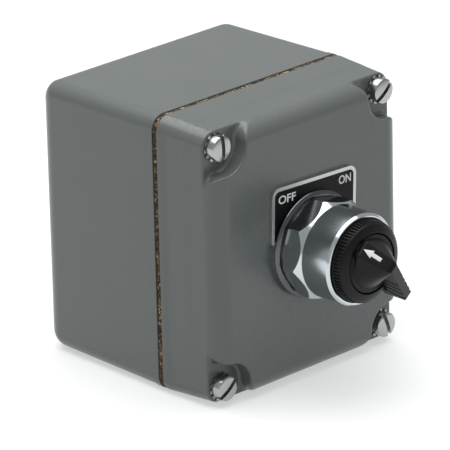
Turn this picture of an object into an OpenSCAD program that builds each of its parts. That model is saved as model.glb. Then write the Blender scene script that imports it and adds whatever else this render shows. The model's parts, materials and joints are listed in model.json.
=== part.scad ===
// Two-position selector switch station: a cast box and cover with a cork gasket,
// an octagonal nut holding a lever knob, and two contact circuits inside.
// Every module is drawn with the wall at z = 0, x to the right, y up and z out of the wall;
// upright() then stands it up, so the finished part faces -Y with +Z up.

/* [Box] */
// Width of the box at its mouth
box_w = 95; // [88:1:130]
// Height of the box at its mouth
box_h = 104.5; // [98:0.5:140]
// Depth of the box from the wall it hangs on to its mouth
box_d = 61.2; // [60:0.2:90]
// Thickness of the box's side walls
side_wall = 5; // [4:0.5:6]
// Thickness of the box's back wall
back_wall = 5; // [4:0.5:7]
// How much each side of the box draws in towards its back
box_draft = 0.8; // [0:0.1:1.2]
// Radius of the corners seen from the front
corner_r = 5.8; // [3:0.1:7]
// Radius of the rounded edges round the back
back_edge_r = 8.1; // [5:0.1:10]
// Width between the mounting holes
mount_w = 60; // [50:1:64]
// Height between the mounting holes
mount_h = 70; // [60:1:74]
// Radius of the mounting holes
mount_hole_r = 3.5; // [2.5:0.1:4]
// Radius of the conduit entry in the bottom
conduit_r = 12.6; // [10:0.1:13]
// Length of the conduit entry's wall
conduit_len = 12; // [10:0.5:13]
// Thickness of the boss round the conduit entry
conduit_boss = 3.9; // [3:0.1:5]
// Distance of the conduit entry from the wall
conduit_out = 24; // [21:0.5:26]

/* [Gasket] */
// Thickness of the squeezed cork gasket
gasket_t = 2.4; // [1.5:0.1:4]
// How far the gasket's edge lies behind the cast faces
gasket_inset = 0.35; // [0:0.05:0.8]

/* [Cover] */
// Depth of the cover from the gasket to its front face
cover_d = 28; // [26:0.5:34]
// Thickness of the cover's front panel
panel_t = 4.5; // [3.5:0.1:5.5]
// Thickness of the cover's side walls
cover_wall = 5.5; // [4.5:0.5:6]
// How much each side of the cover draws in towards its front
cover_draft = 1.1; // [0:0.1:1.5]
// Radius of the rounded edges round the front
front_edge_r = 7; // [4:0.1:9]
// Distance of each screw from the cover's nearer side
screw_in_x = 7.2; // [6.8:0.1:8]
// Distance of each screw from the cover's top or bottom
screw_in_y = 7.05; // [6.8:0.05:8]
// Depth of the corner pockets
pocket_d = 6.3; // [5:0.1:8]
// Radius of the corner pockets round their screws
pocket_r = 9.8; // [8.5:0.1:10.5]
// Radius of the flares where the pockets run out into the sides
flare_r = 6; // [4:0.1:6.5]
// Wall left round each pocket inside the cover
pocket_wall = 3.5; // [3:0.1:4]

/* [Cover screws] */
// Radius of the screw heads
head_r = 4.85; // [4:0.05:5.2]
// Height of the screw heads
head_h = 3.8; // [2.8:0.1:4.5]
// Height of the domed part of the screw heads
head_dome = 1.3; // [0.6:0.1:1.8]
// Radius of the screw threads
screw_r = 3.125; // [2.5:0.025:3.3]
// Length of the screws under their heads
screw_len = 38.1; // [34:0.1:44]
// Width of the screwdriver slots
slot_w = 1.6; // [1:0.1:2]
// Depth of the screwdriver slots
slot_d = 2; // [1:0.1:2.4]
// Outer radius of the toothed lock washers
lock_r = 6.05; // [5.5:0.05:6.5]
// Thickness of the lock washers
lock_t = 1; // [0.6:0.1:1.4]
// Number of teeth on a lock washer
lock_teeth = 12; // [8:1:14]
// Radius of the box's bosses round the screws
boss_r = 7; // [6:0.1:7.5]

/* [Legend plate] */
// Width of the legend plate
legend_w = 42; // [38:0.5:48]
// Height of the legend plate's top edge above the operator's axis
legend_up = 25.7; // [23:0.1:30]
// Height of the wings' lower edge above the operator's axis
legend_low = 4; // [2:0.5:8]
// Thickness of the legend plate
legend_t = 1.5; // [1:0.1:2]
// Radius of the plate's top corners
legend_r = 3.5; // [1.5:0.1:5]
// Radius of the wings' lower corners
legend_low_r = 1; // [0.5:0.1:2]
// Radius of the plate's round part behind the washer
legend_disc_r = 19; // [18:0.1:19.5]

/* [Operator] */
// How far the operator's axis lies below the middle of the cover
op_drop = 0.5; // [0:0.1:3]
// Radius of the panel hole
panel_hole_r = 15.25; // [15.2:0.01:15.4]
// Radius of the operator's threaded barrel
barrel_r = 14.95; // [14.8:0.01:15]
// How far the barrel reaches past the front panel
barrel_out = 13.4; // [11.5:0.1:14.5]
// Outer radius of the trim washer
washer_r = 19.85; // [19.3:0.05:22]
// Thickness of the trim washer
washer_t = 1.5; // [1:0.1:2]
// Width of the trim washer's bevel
washer_bevel = 1.2; // [0.5:0.1:1.3]
// Radius of the octagon through its corners
nut_corner_r = 19.1; // [18.7:0.1:19.4]
// Turn of the octagon's first corner from the right
nut_turn = 10; // [0:1:45]
// Full height of the ring nut
nut_h = 22.4; // [20:0.1:24]
// Height of the nut's round foot under the octagon
nut_foot = 1.7; // [1:0.1:2.5]
// Height of the octagon's sides
nut_side = 4.9; // [3:0.1:6]
// Height of the bevel from the octagon to the collar
nut_bevel = 3; // [2:0.1:3.5]
// Radius of the collar at its foot
collar_r = 17.6; // [17.2:0.05:17.8]
// Radius of the collar at its rim
rim_r = 16.6; // [16.4:0.05:17]
// Width of the bevel on the rim
rim_bevel = 0.5; // [0.2:0.05:0.6]
// Radius of the flange behind the panel
flange_r = 20; // [19:0.1:24]
// Thickness of the flange behind the panel
flange_t = 4; // [3:0.1:5]
// Thickness of the rubber gasket behind the panel
panel_gasket_t = 1.5; // [1:0.1:2]
// Outer radius of the housing behind the flange
housing_r = 18.5; // [18:0.1:20]

/* [Knob] */
// Outer radius of the bezel ring inside the collar
bezel_r = 15.3; // [15.1:0.05:15.5]
// Height of the bezel's inner edge over the panel
bezel_out = 30.4; // [29.8:0.1:33]
// Radius at the bezel's outer front edge
bezel_face_r = 14.35; // [13.5:0.05:14.5]
// Drop from the bezel's inner edge to its outer front edge
bezel_crown = 1.4; // [0.8:0.1:1.6]
// Height of the band of grip teeth
teeth_h = 2.6; // [2:0.1:2.8]
// Number of grip teeth
teeth = 72; // [48:4:96]
// Radius of the knob's disc
disc_r = 10.85; // [10.2:0.05:11.5]
// Running gap round the knob's disc
disc_gap = 0.3; // [0.2:0.05:0.5]
// Foot radius of the raised hub on the disc
hub_r = 9.3; // [8.5:0.1:9.8]
// Height of the lever's ridge over the panel
ridge_out = 42.5; // [39:0.1:46]
// Height of the pointer facet's outer end over the panel
tip_out = 32.6; // [31.5:0.1:34]
// Reach of the pointer facet from the axis
tip_reach = 10.9; // [10:0.1:11.5]
// Half width of the pointer facet at its outer end
tip_half = 3.1; // [2.6:0.1:3.5]
// Reach of the pointer facet's inner end from the axis
ridge_reach = 3.6; // [3:0.1:4.5]
// Half width of the pointer facet at its inner end
ridge_half = 2.3; // [2.1:0.1:2.8]
// Drop from the ridge to the pointer facet's inner end
ridge_drop = 0.9; // [0.5:0.1:1.5]
// Width of the bevelled strip in front of the ridge
ridge_strip = 1.2; // [0.8:0.1:1.6]
// Reach of the lever's tail from the axis
tail_reach = 18.4; // [17:0.1:24]
// Height of the tail's top over the panel
tail_out = 36.5; // [34:0.1:38]
// Half thickness of the lever's tail
tail_half = 2; // [1.6:0.1:2.1]
// Gap between the tail and the rim that it passes over
tail_gap = 0.7; // [0.5:0.1:1]
// Number of finger flutes on each side of the tail
flutes = 4; // [3:1:4]
// Radius of the finger flutes
flute_r = 0.6; // [0.4:0.05:0.8]
// Direction of the pointer at OFF, from the right
off_angle = 130; // [120:1:135]
// Turn from OFF to ON
throw_angle = 80; // [60:1:90]

/* [Mechanism] */
// Radius of the knob's shaft
shaft_r = 4; // [3.6:0.05:4.2]
// Running gap of the shaft and of the push rods
running_gap = 0.05; // [0.02:0.01:0.08]
// Distance of the cam room's front wall behind the front panel
room_in = 5.6; // [5.2:0.1:5.8]
// Depth of the room for the cam
room_d = 20; // [19.5:0.5:21]
// Radius of the room for the cam
room_r = 12.6; // [12.2:0.1:12.8]
// Radius of the cam
cam_r = 11.5; // [11:0.1:11.8]
// Thickness of the cam on its axis
cam_t = 9.7; // [9.4:0.1:10.2]
// Slant of the cam's pushing face
cam_slant = 16.26; // [12:0.01:17]
// Radius of the stop pin
stop_r = 1.2; // [1:0.05:1.3]
// Radius of the detent ball
ball_r = 1.6; // [1.4:0.05:1.7]
// Distance of each push rod from the axis
rod_x = 8; // [7.8:0.1:8.2]
// Radius of the push rods
rod_r = 1.5; // [1.2:0.05:1.6]
// Thickness of the guide plate behind the cam
guide_t = 2; // [1.5:0.1:3]

/* [Contact block] */
// Width of the contact block
block_w = 34; // [33:0.5:36]
// Height of the contact block
block_h = 46; // [44:0.5:50]
// Depth of the contact block
block_d = 34; // [33.5:0.5:35]
// Width of each carrier's channel
channel_w = 11; // [10.6:0.1:11.4]
// Height of each carrier's channel
channel_h = 32; // [31:0.5:34]
// Depth of each carrier's channel
channel_d = 31; // [30.5:0.5:31.5]
// Width of a carrier
carrier_w = 9; // [8.4:0.1:9.6]
// Height of a carrier
carrier_h = 12; // [11:0.1:13]
// Length of a carrier
carrier_len = 20; // [19:0.5:21]
// Width of a contact bridge
bridge_w = 6; // [5:0.1:6.5]
// Length of a contact bridge
bridge_len = 26; // [25:0.1:28]
// Thickness of the bridges and contact strips
strip_t = 1; // [0.8:0.1:1.2]
// Radius of the silver contact tips
contact_r = 2; // [1.5:0.1:2.4]
// Height of the silver contact tips
contact_h = 0.8; // [0.5:0.1:1]
// Distance of the contact tips from the axis
contact_y = 10; // [9.6:0.1:10.5]
// Distance of the terminal screws past the contact block's ends
terminal_reach = 4.5; // [4:0.5:6]

/* [Hidden] */
$fn = 64;

// Overrun of every cut, thickness of a hull's slices, and how finely hulls are drawn
cut = 1;
slice = 0.01;
hull_fn = 32;
edge_steps = 6;
edge_taper_share = 0.7;

// Levels along the axis, out from the wall
rim_z = box_d + gasket_t;
front_z = rim_z + cover_d;
panel_z = front_z - panel_t;
pocket_z = front_z - pocket_d;
washer_z = front_z + legend_t;
nut_z = washer_z + washer_t;
nut_top_z = nut_z + nut_h;
barrel_z = front_z + barrel_out;
flange_z = panel_z - panel_gasket_t;
housing_z = flange_z - flange_t;
room_z = front_z - room_in;
guide_z = room_z - room_d;
block_z = guide_z - guide_t;
block_low_z = block_z - block_d;
floor_z = block_z - channel_d;

// Cover screws and what they pass through
screw_x = box_w / 2 - screw_in_x;
screw_y = box_h / 2 - screw_in_y;
cover_boss_r = pocket_r + pocket_wall;
screw_clear = 0.45;
thread_gap = 0.05;
screw_hole_over = 2;
room_corner_r = 2.5;
screw_turns = [[-1, 1, 90], [1, 1, 40], [-1, -1, 36], [1, -1, 108]];
lock_ring = 1.5;
lock_tooth_w = 1.5;
lock_gap = 0.2;

// Ground screw and its boss on the back wall
ground_x = -22;
ground_y = 14;
ground_boss_r = 5;
ground_boss_h = 6;
ground_r = 2.4;
ground_len = 8;
ground_hex_r = 4.6;
ground_head_h = 3.5;

// Gaps round the barrel, and the nut's thread and bore
hole_gap = 0.15;
collar_gap = 0.25;
nut_in_r = barrel_r + thread_gap;
rim_in_r = bezel_r + collar_gap;
nut_step = 0.4;
nut_foot_in = 1.7;
nut_edge = 0.8;

// Bezel ring and its band of teeth
bezel_hole_r = disc_r + disc_gap;
bezel_floor = 4.5;
bezel_floor_hole = 6.5;
bezel_top_z = front_z + bezel_out;
bezel_face_z = bezel_top_z - bezel_crown;
teeth_top_z = bezel_face_z - disc_gap;
tooth_h = 0.28;
tooth_in = 0.1;

// Knob's seat on its shaft, the shaft's seal and its clip
knob_gap = 1.1;
knob_z = barrel_z + bezel_floor + knob_gap;
knob_socket = 7.6;
disc_edge = 0.4;
seal_tube_r = 1.05;
seal_gap = 0.1;
seal_back = 5.8;
clip_t = 1;
clip_r = 6;
clip_neck = 0.5;
clip_gap = 0.1;
clip_z = barrel_z + clip_gap;
clip_open = 60;

// Lever outline, as reach from the axis and height over the panel
rim_out = legend_t + washer_t + nut_h;
tail_low = rim_out + tail_gap;
face_out = bezel_out - bezel_crown;
lever_gap = 0.5;
lever_root = 0.4;
top_reach = ridge_reach - ridge_strip;
strip_out = ridge_out - ridge_drop;
facet_tilt = atan2(strip_out - tip_out, tip_reach - ridge_reach);
tail_tilt = atan2(ridge_out - tail_out, tail_reach + top_reach);
flute_first = 1.6;
flute_pitch = (tail_reach - flute_first) / (flutes + 1);
flute_len = ridge_out - tail_low;
flute_bite = 0.4;

// Arrow set into the pointer facet
arrow_first = 0.45;
arrow_head = 3.8;
arrow_len = 7.6;
arrow_half = 1.75;
arrow_stem = 1;
arrow_deep = 0.4;
arrow_proud = 0.15;

// Cam, its stop slot and its detent track
cam_gap = 0.3;
cam_z = room_z - cam_gap;
cam_mid_z = cam_z - cam_t;
cam_web = 2;
cam_recess = 4;
cam_recess_r = 5;
web_z = cam_mid_z + cam_recess;
shaft_low_z = web_z + cam_web + thread_gap;
shaft_high_z = knob_z + knob_socket - clip_gap;
stop_in = 3.2;
stop_z = cam_z - stop_in;
stop_slot_d = 1.9;
stop_slot_r = cam_r - stop_slot_d;
stop_gap = 0.15;
stop_slack = asin((stop_r + stop_gap * 2) / stop_slot_r);
stop_sunk = 0.2;
stop_out = housing_r - stop_sunk;
track_d = 0.7;
track_half = 1.75;
seat_d = 0.5;
seat_gap = 0.1;
seat_r = ball_r + seat_gap;
seat_z = cam_z - track_d - seat_d + seat_r;
detent_r = 8;
ball_z = cam_z - track_d + clip_gap + ball_r;
detent_room = 10.9;
detent_gap = 0.05;

// Slots and domes of the small screws, and the cam screw
small_dome = 0.8;
small_slot_w = 0.8;
small_slot_d = 1.1;
cam_screw_r = 1.95;
cam_screw_len = 10;
cam_screw_head_r = 3.6;
cam_screw_head_h = 2.4;
cam_hole_gap = 0.25;

// Push rods and where the cam's slant puts them at rest
rod_gap = 0.15;
cam_rise = rod_x * tan(cam_slant);
off_tip_z = cam_mid_z + cam_rise * cos(off_angle) - rod_r / cos(cam_slant) - rod_gap;
on_tip_z = cam_mid_z - cam_rise * cos(off_angle) - rod_r / cos(cam_slant) - rod_gap;
rod_lift = on_tip_z - off_tip_z;
socket_d = 6;
spring_short = 5;
rod_len = off_tip_z - (floor_z + spring_short + carrier_len - socket_d) - clip_gap;

// Carriers, bridges and springs, from a carrier's lower end
closed_gap = 0.1;
strip_up = 7;
strip_z = floor_z + strip_up;
bridge_up = strip_z + strip_t + 2 * contact_h + closed_gap - floor_z - spring_short;
window_gap = 0.1;
window_h = 7;
window_slack = 0.2;
contact_spring_r = 2.2;
contact_wire_r = 0.3;
contact_turns = 4;
return_spring_r = 2.6;
return_wire_r = 0.35;
return_turns = 4;
detent_spring_r = 1.15;
detent_wire_r = 0.25;
detent_turns = 8;
coil_sides = 6;
coil_steps = 12;

// Terminals and block screws
slot_gap = 0.15;
shelf_w = 9;
shelf_t = 9;
shelf_over = 4;
tongue_over = 3.5;
terminal_y = block_h / 2 + terminal_reach;
terminal_r = 1.7;
terminal_len = 8;
terminal_head_r = 3.2;
terminal_head_h = 2.4;
clamp_w = 7;
clamp_t = 1;
clamp_gap = 0.2;
block_screw_y = (room_r + housing_r) / 2;
block_screw_r = 1.45;
block_screw_bite = 8;
block_screw_head_r = 2.75;
block_screw_head_h = 2.4;
block_hole_gap = 0.25;

function lerp(a, b, t) = a + (b - a) * t;

module upright() {
    rotate([90, 0, 0]) children();
}

module at_operator() {
    upright() translate([0, -op_drop, 0]) children();
}

module corners() {
    for (sx = [-1, 1], sy = [-1, 1])
        translate([sx * screw_x, sy * screw_y, 0]) children();
}

module quadrants() {
    for (mx = [0, 1], my = [0, 1])
        mirror([mx, 0, 0]) mirror([0, my, 0]) children();
}

module rounded(w, h, r) {
    square([w - 2 * r, h], center = true);
    square([w, h - 2 * r], center = true);
    for (sx = [-1, 1], sy = [-1, 1])
        translate([sx * (w / 2 - r), sy * (h / 2 - r)]) circle(r = r);
}

// A drafted block with its open end at z = 0 and rounded edges round its far end
module cast_block(depth, draft, edge_r) {
    levels = [for (i = [0 : edge_steps])
        let (a = 90 * i / edge_steps, turned = 1 - cos(a))
            [depth - edge_r * (1 - sin(a)), draft + edge_r * turned, 1 - edge_taper_share * turned]];
    hull()
        for (level = concat([[slice, 0, 1]], levels), sx = [-1, 1], sy = [-1, 1])
            let (r = corner_r * level[2], inset = level[1] + r)
                translate([sx * (box_w / 2 - inset), sy * (box_h / 2 - inset), level[0] - slice])
                    cylinder(r = r, h = slice, $fn = hull_fn);
}

// Outline of the hollow inside a cast wall, less a round boss in each corner
module hollow(wall, boss) {
    difference() {
        rounded(box_w - 2 * wall, box_h - 2 * wall, room_corner_r);
        corners() circle(r = boss);
        quadrants() translate([screw_x, screw_y]) square(boss);
    }
}

// Outline of a corner pocket in the upper right quarter, with its two flares
module pocket_outline() {
    edge_x = box_w / 2 - cover_draft;
    edge_y = box_h / 2 - cover_draft;
    reach = pocket_r + flare_r;
    far_x = screw_x + reach;
    far_y = screw_y + reach;
    side_x = edge_x - flare_r;
    side_y = screw_y - sqrt(reach * reach - (side_x - screw_x) * (side_x - screw_x));
    top_y = edge_y - flare_r;
    top_x = screw_x - sqrt(reach * reach - (top_y - screw_y) * (top_y - screw_y));
    translate([screw_x, screw_y]) circle(r = pocket_r);
    translate([screw_x, screw_y]) square(reach);
    difference() {
        polygon([[screw_x, screw_y], [side_x, side_y], [far_x, side_y], [far_x, screw_y]]);
        translate([side_x, side_y]) circle(r = flare_r);
    }
    difference() {
        polygon([[screw_x, screw_y], [top_x, top_y], [top_x, far_y], [screw_x, far_y]]);
        translate([top_x, top_y]) circle(r = flare_r);
    }
}

module slotted_head(r, h, dome, slot, deep) {
    ball = (r * r + dome * dome) / (2 * dome);
    difference() {
        intersection() {
            cylinder(r = r, h = h);
            translate([0, 0, h - ball]) sphere(r = ball, $fn = 128);
        }
        translate([-r - cut, -slot / 2, h - deep]) cube([2 * (r + cut), slot, deep + cut]);
    }
}

// A small screw's head, facing the wall
module small_head(r, h) {
    mirror([0, 0, 1]) slotted_head(r, h, small_dome, small_slot_w, small_slot_d);
}

// A coil of round wire from z = 0 to z = high, as one tube
module coil(r, wire, high, turns) {
    count = turns * coil_steps;
    rings = [for (i = [0 : count]) let (a = 360 * i / coil_steps, z = lerp(wire, high - wire, i / count))
        [for (k = [0 : coil_sides - 1]) let (b = 360 * k / coil_sides)
            [(r + wire * cos(b)) * cos(a), (r + wire * cos(b)) * sin(a), z + wire * sin(b)]]];
    walls = [for (i = [0 : count - 1], k = [0 : coil_sides - 1]) let (
            a = i * coil_sides + k,
            b = i * coil_sides + (k + 1) % coil_sides)
        each [[a, a + coil_sides, b], [b, a + coil_sides, b + coil_sides]]];
    start = [for (k = [1 : coil_sides - 2]) [0, k, k + 1]];
    end = [for (k = [1 : coil_sides - 2]) let (o = count * coil_sides) [o, o + k + 1, o + k]];
    polyhedron(points = [for (ring = rings) each ring], faces = concat(walls, start, end));
}

module back_box() {
    color([0.47, 0.49, 0.485]) upright() difference() {
        union() {
            difference() {
                translate([0, 0, box_d]) mirror([0, 0, 1]) cast_block(box_d, box_draft, back_edge_r);
                translate([0, 0, back_wall]) linear_extrude(box_d) hollow(side_wall, boss_r);
            }
            translate([0, side_wall / 2 - box_h / 2, conduit_out]) rotate([-90, 0, 0])
                cylinder(r = conduit_r + conduit_boss, h = conduit_len - side_wall / 2);
            translate([ground_x, ground_y, back_wall / 2])
                cylinder(r = ground_boss_r, h = back_wall / 2 + ground_boss_h);
        }
        corners() translate([0, 0, front_z - pocket_d + lock_t - screw_len - screw_hole_over])
            cylinder(r = screw_r + thread_gap, h = screw_len);
        for (sx = [-1, 1], sy = [-1, 1])
            translate([sx * mount_w / 2, sy * mount_h / 2, -cut])
                cylinder(r = mount_hole_r, h = back_wall + 2 * cut);
        translate([0, -box_h / 2 - cut, conduit_out]) rotate([-90, 0, 0])
            cylinder(r = conduit_r, h = conduit_len + 2 * cut);
        translate([ground_x, ground_y, back_wall + ground_boss_h - ground_len - thread_gap])
            cylinder(r = ground_r + thread_gap, h = ground_len + cut);
    }
}

module cover() {
    color([0.47, 0.49, 0.485]) upright() difference() {
        translate([0, 0, rim_z]) cast_block(cover_d, cover_draft, front_edge_r);
        translate([0, 0, rim_z - cut]) linear_extrude(cover_d - panel_t + cut)
            hollow(cover_wall, cover_boss_r);
        quadrants() translate([0, 0, pocket_z]) linear_extrude(pocket_d + cut) pocket_outline();
        corners() translate([0, 0, rim_z - cut]) cylinder(r = screw_r + screw_clear, h = cover_d + cut);
        translate([0, -op_drop, panel_z - cut]) cylinder(r = panel_hole_r, h = panel_t + 2 * cut);
    }
}

module cover_gasket() {
    color([0.45, 0.33, 0.2]) upright() translate([0, 0, box_d]) linear_extrude(gasket_t) difference() {
        rounded(box_w - 2 * gasket_inset, box_h - 2 * gasket_inset, corner_r);
        hollow(side_wall, boss_r);
        corners() circle(r = screw_r + screw_clear);
    }
}

module cover_screws() {
    color([0.75, 0.76, 0.76]) upright() for (place = screw_turns)
        translate([place[0] * screw_x, place[1] * screw_y, pocket_z + lock_t]) {
            rotate([0, 0, place[2]]) slotted_head(head_r, head_h, head_dome, slot_w, slot_d);
            translate([0, 0, -screw_len]) cylinder(r = screw_r, h = screw_len + head_h / 4);
        }
}

module cover_lock_washers() {
    hole_r = screw_r + lock_gap;
    color([0.8, 0.8, 0.79]) upright() corners() translate([0, 0, pocket_z]) linear_extrude(lock_t)
        difference() {
            union() {
                circle(r = hole_r + lock_ring);
                for (i = [1 : lock_teeth])
                    rotate(360 * i / lock_teeth) translate([hole_r, -lock_tooth_w / 2])
                        square([lock_r - hole_r, lock_tooth_w]);
            }
            circle(r = hole_r);
        }
}

module ground_screw() {
    color([0.15, 0.45, 0.25]) upright() translate([ground_x, ground_y, back_wall + ground_boss_h]) {
        cylinder(r = ground_hex_r, h = ground_head_h, $fn = 6);
        translate([0, 0, -ground_len]) cylinder(r = ground_r, h = ground_len + ground_head_h / 2);
    }
}

module legend_plate() {
    wing_x = legend_w / 2;
    color([0.08, 0.08, 0.08]) at_operator() translate([0, 0, front_z]) linear_extrude(legend_t) difference() {
        union() {
            circle(r = legend_disc_r);
            for (s = [-1, 1]) {
                translate([s * (wing_x - legend_r), legend_up - legend_r]) circle(r = legend_r);
                translate([s * (wing_x - legend_low_r), legend_low + legend_low_r]) circle(r = legend_low_r);
            }
            polygon([
                [-wing_x, legend_low + legend_low_r], [-wing_x + legend_low_r, legend_low],
                [wing_x - legend_low_r, legend_low], [wing_x, legend_low + legend_low_r],
                [wing_x, legend_up - legend_r], [wing_x - legend_r, legend_up],
                [legend_r - wing_x, legend_up], [-wing_x, legend_up - legend_r]
            ]);
        }
        circle(r = barrel_r + hole_gap);
    }
}

module panel_gasket() {
    color([0.06, 0.06, 0.06]) at_operator() translate([0, 0, flange_z]) difference() {
        cylinder(r = flange_r - nut_edge, h = panel_gasket_t);
        translate([0, 0, -cut]) cylinder(r = barrel_r + hole_gap, h = panel_gasket_t + 2 * cut);
    }
}

module trim_washer() {
    color([0.7, 0.72, 0.74]) at_operator() translate([0, 0, washer_z]) rotate_extrude() polygon([
        [barrel_r + hole_gap, 0], [washer_r, 0], [washer_r, washer_t / 3],
        [washer_r - washer_bevel, washer_t], [barrel_r + hole_gap, washer_t]
    ]);
}

// Turned profile of the nut: its foot and bevel run on past the octagon's corners
module nut_profile(side_top, bevel_top) {
    out_r = nut_corner_r + cut;
    foot_slope = nut_edge / nut_foot_in;
    bevel_slope = nut_bevel / (nut_corner_r - collar_r);
    polygon([
        [0, 0], [nut_corner_r - nut_foot_in, 0], [nut_corner_r - nut_foot_in, nut_foot - nut_edge],
        [out_r, nut_foot + cut * foot_slope], [out_r, side_top - cut * bevel_slope],
        [collar_r, bevel_top], [rim_r, nut_h - rim_bevel], [rim_r - rim_bevel, nut_h], [0, nut_h]
    ]);
}

module ring_nut() {
    side_top = nut_foot + nut_side;
    bevel_top = side_top + nut_bevel;
    step_z = barrel_z - nut_step;
    color([0.68, 0.7, 0.73]) at_operator() difference() {
        translate([0, 0, nut_z]) intersection() {
            union() {
                rotate([0, 0, nut_turn]) cylinder(r = nut_corner_r, h = bevel_top, $fn = 8);
                translate([0, 0, bevel_top]) cylinder(r = nut_corner_r, h = nut_h);
            }
            rotate_extrude() nut_profile(side_top, bevel_top);
        }
        translate([0, 0, nut_z - cut]) cylinder(r = nut_in_r, h = nut_h + 2 * cut);
        translate([0, 0, step_z]) cylinder(r = rim_in_r, h = nut_top_z - step_z + cut);
    }
}

module operator_body() {
    color([0.55, 0.56, 0.57]) at_operator() difference() {
        union() {
            translate([0, 0, flange_z]) cylinder(r = barrel_r, h = barrel_z - flange_z);
            translate([0, 0, housing_z]) cylinder(r = flange_r, h = flange_t);
            translate([0, 0, guide_z]) cylinder(r = housing_r, h = housing_z - guide_z);
        }
        translate([0, 0, guide_z - cut]) cylinder(r = room_r, h = room_d + cut);
        translate([0, 0, room_z - cut]) cylinder(r = shaft_r + running_gap, h = barrel_z - room_z + 2 * cut);
        translate([0, 0, barrel_z - seal_back - seal_tube_r - seal_gap])
            cylinder(r = shaft_r + 2 * (seal_tube_r + seal_gap), h = 2 * (seal_tube_r + seal_gap));
        translate([0, -detent_r, room_z - cut]) cylinder(r = ball_r + detent_gap, h = detent_room + cut);
        translate([0, 0, stop_z]) rotate([-90, 0, 0]) cylinder(r = stop_r + thread_gap, h = flange_r + cut);
        for (s = [-1, 1]) translate([0, s * block_screw_y, guide_z - cut])
            cylinder(r = block_screw_r + thread_gap, h = block_screw_bite + 2 * cut);
    }
}

module bezel_ring() {
    count = teeth * 2;
    teeth_foot = bezel_face_r + tooth_h;
    color([0.1, 0.1, 0.1]) at_operator() difference() {
        union() {
            rotate_extrude() polygon([
                [0, barrel_z], [bezel_r, barrel_z], [bezel_r, teeth_top_z - teeth_h - tooth_in],
                [teeth_foot, teeth_top_z - teeth_h], [teeth_foot, teeth_top_z], [bezel_face_r, bezel_face_z],
                [bezel_hole_r, bezel_top_z], [0, bezel_top_z]
            ]);
            translate([0, 0, teeth_top_z - teeth_h]) linear_extrude(teeth_h)
                polygon([for (i = [0 : count - 1])
                    let (a = 360 * i / count, r = teeth_foot - tooth_in + (i % 2) * 2 * tooth_h)
                        [r * cos(a), r * sin(a)]]);
        }
        translate([0, 0, barrel_z + bezel_floor]) cylinder(r = bezel_hole_r, h = bezel_top_z);
        translate([0, 0, barrel_z - cut]) cylinder(r = bezel_floor_hole, h = bezel_floor + 2 * cut);
    }
}

module shaft_seal() {
    color([0.05, 0.05, 0.05]) at_operator() translate([0, 0, barrel_z - seal_back])
        rotate_extrude() translate([shaft_r + seal_gap + seal_tube_r, 0]) circle(r = seal_tube_r);
}

module detent_ball() {
    color([0.8, 0.8, 0.82]) at_operator() translate([0, -detent_r, ball_z]) sphere(r = ball_r);
}

module detent_spring() {
    low = ball_z + ball_r + detent_gap;
    color([0.6, 0.6, 0.62]) at_operator() translate([0, -detent_r, low])
        coil(detent_spring_r, detent_wire_r, room_z + detent_room - low - detent_gap, detent_turns);
}

module stop_pin() {
    low = stop_slot_r + cam_gap;
    color([0.7, 0.7, 0.72]) at_operator() translate([0, low, stop_z])
        rotate([-90, 0, 0]) cylinder(r = stop_r, h = stop_out - low);
}

// A cross bar of the lever, for hulls: reach from the axis, height over the panel, half width
module lever_bar(reach, out, half) {
    translate([reach - slice / 2, -half, front_z + out - slice]) cube([slice, 2 * half, slice]);
}

module on_facet() {
    rotate([0, 0, off_angle]) translate([tip_reach, 0, front_z + tip_out])
        rotate([0, facet_tilt, 0]) children();
}

module arrow_outline() {
    barb = -arrow_first - arrow_head;
    foot = -arrow_first - arrow_len;
    polygon([
        [-arrow_first, 0], [barb, arrow_half], [barb, arrow_stem], [foot, arrow_stem],
        [foot, -arrow_stem], [barb, -arrow_stem], [barb, -arrow_half]
    ]);
}

module lever_tail() {
    rotate([90, 0, 0]) translate([0, front_z, -tail_half]) linear_extrude(2 * tail_half) polygon([
        [-tail_reach, tail_out], [-tail_reach, tail_low], [-bezel_r - disc_gap, tail_low],
        [-bezel_face_r - lever_gap, face_out + lever_gap], [-bezel_hole_r, bezel_out + lever_gap],
        [-hub_r, bezel_out - lever_root], [top_reach, bezel_out - lever_root], [top_reach, ridge_out]
    ]);
}

module selector_knob() {
    color([0.09, 0.09, 0.09]) at_operator() difference() {
        rotate([0, 0, off_angle]) difference() {
            union() {
                rotate_extrude() polygon([
                    [0, knob_z], [disc_r, knob_z], [disc_r, bezel_top_z - disc_edge],
                    [disc_r - disc_edge, bezel_top_z], [0, bezel_top_z]
                ]);
                hull() {
                    translate([0, 0, bezel_top_z - lever_root])
                        cylinder(r = hub_r, h = lever_root, $fn = hull_fn);
                    lever_bar(tip_reach - disc_edge, bezel_out, tip_half);
                    lever_bar(tip_reach, tip_out, tip_half);
                    lever_bar(ridge_reach, strip_out, ridge_half);
                    lever_bar(top_reach, ridge_out, tail_half);
                }
                lever_tail();
            }
            for (i = [0 : flutes - 1], s = [-1, 1])
                translate([-tail_reach, s * (tail_half + flute_r - flute_bite), front_z + tail_out])
                    rotate([0, -tail_tilt, 0]) translate([flute_first + i * flute_pitch, 0, -flute_len])
                        cylinder(r = flute_r, h = flute_len + cut);
            translate([0, 0, knob_z - cut]) cylinder(r = shaft_r + thread_gap, h = knob_socket + cut);
        }
        on_facet() translate([0, 0, -arrow_deep]) linear_extrude(arrow_deep + cut) arrow_outline();
    }
}

module arrow_insert() {
    color([0.93, 0.93, 0.92]) at_operator() on_facet() translate([0, 0, -arrow_deep])
        linear_extrude(arrow_deep + arrow_proud) arrow_outline();
}

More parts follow.
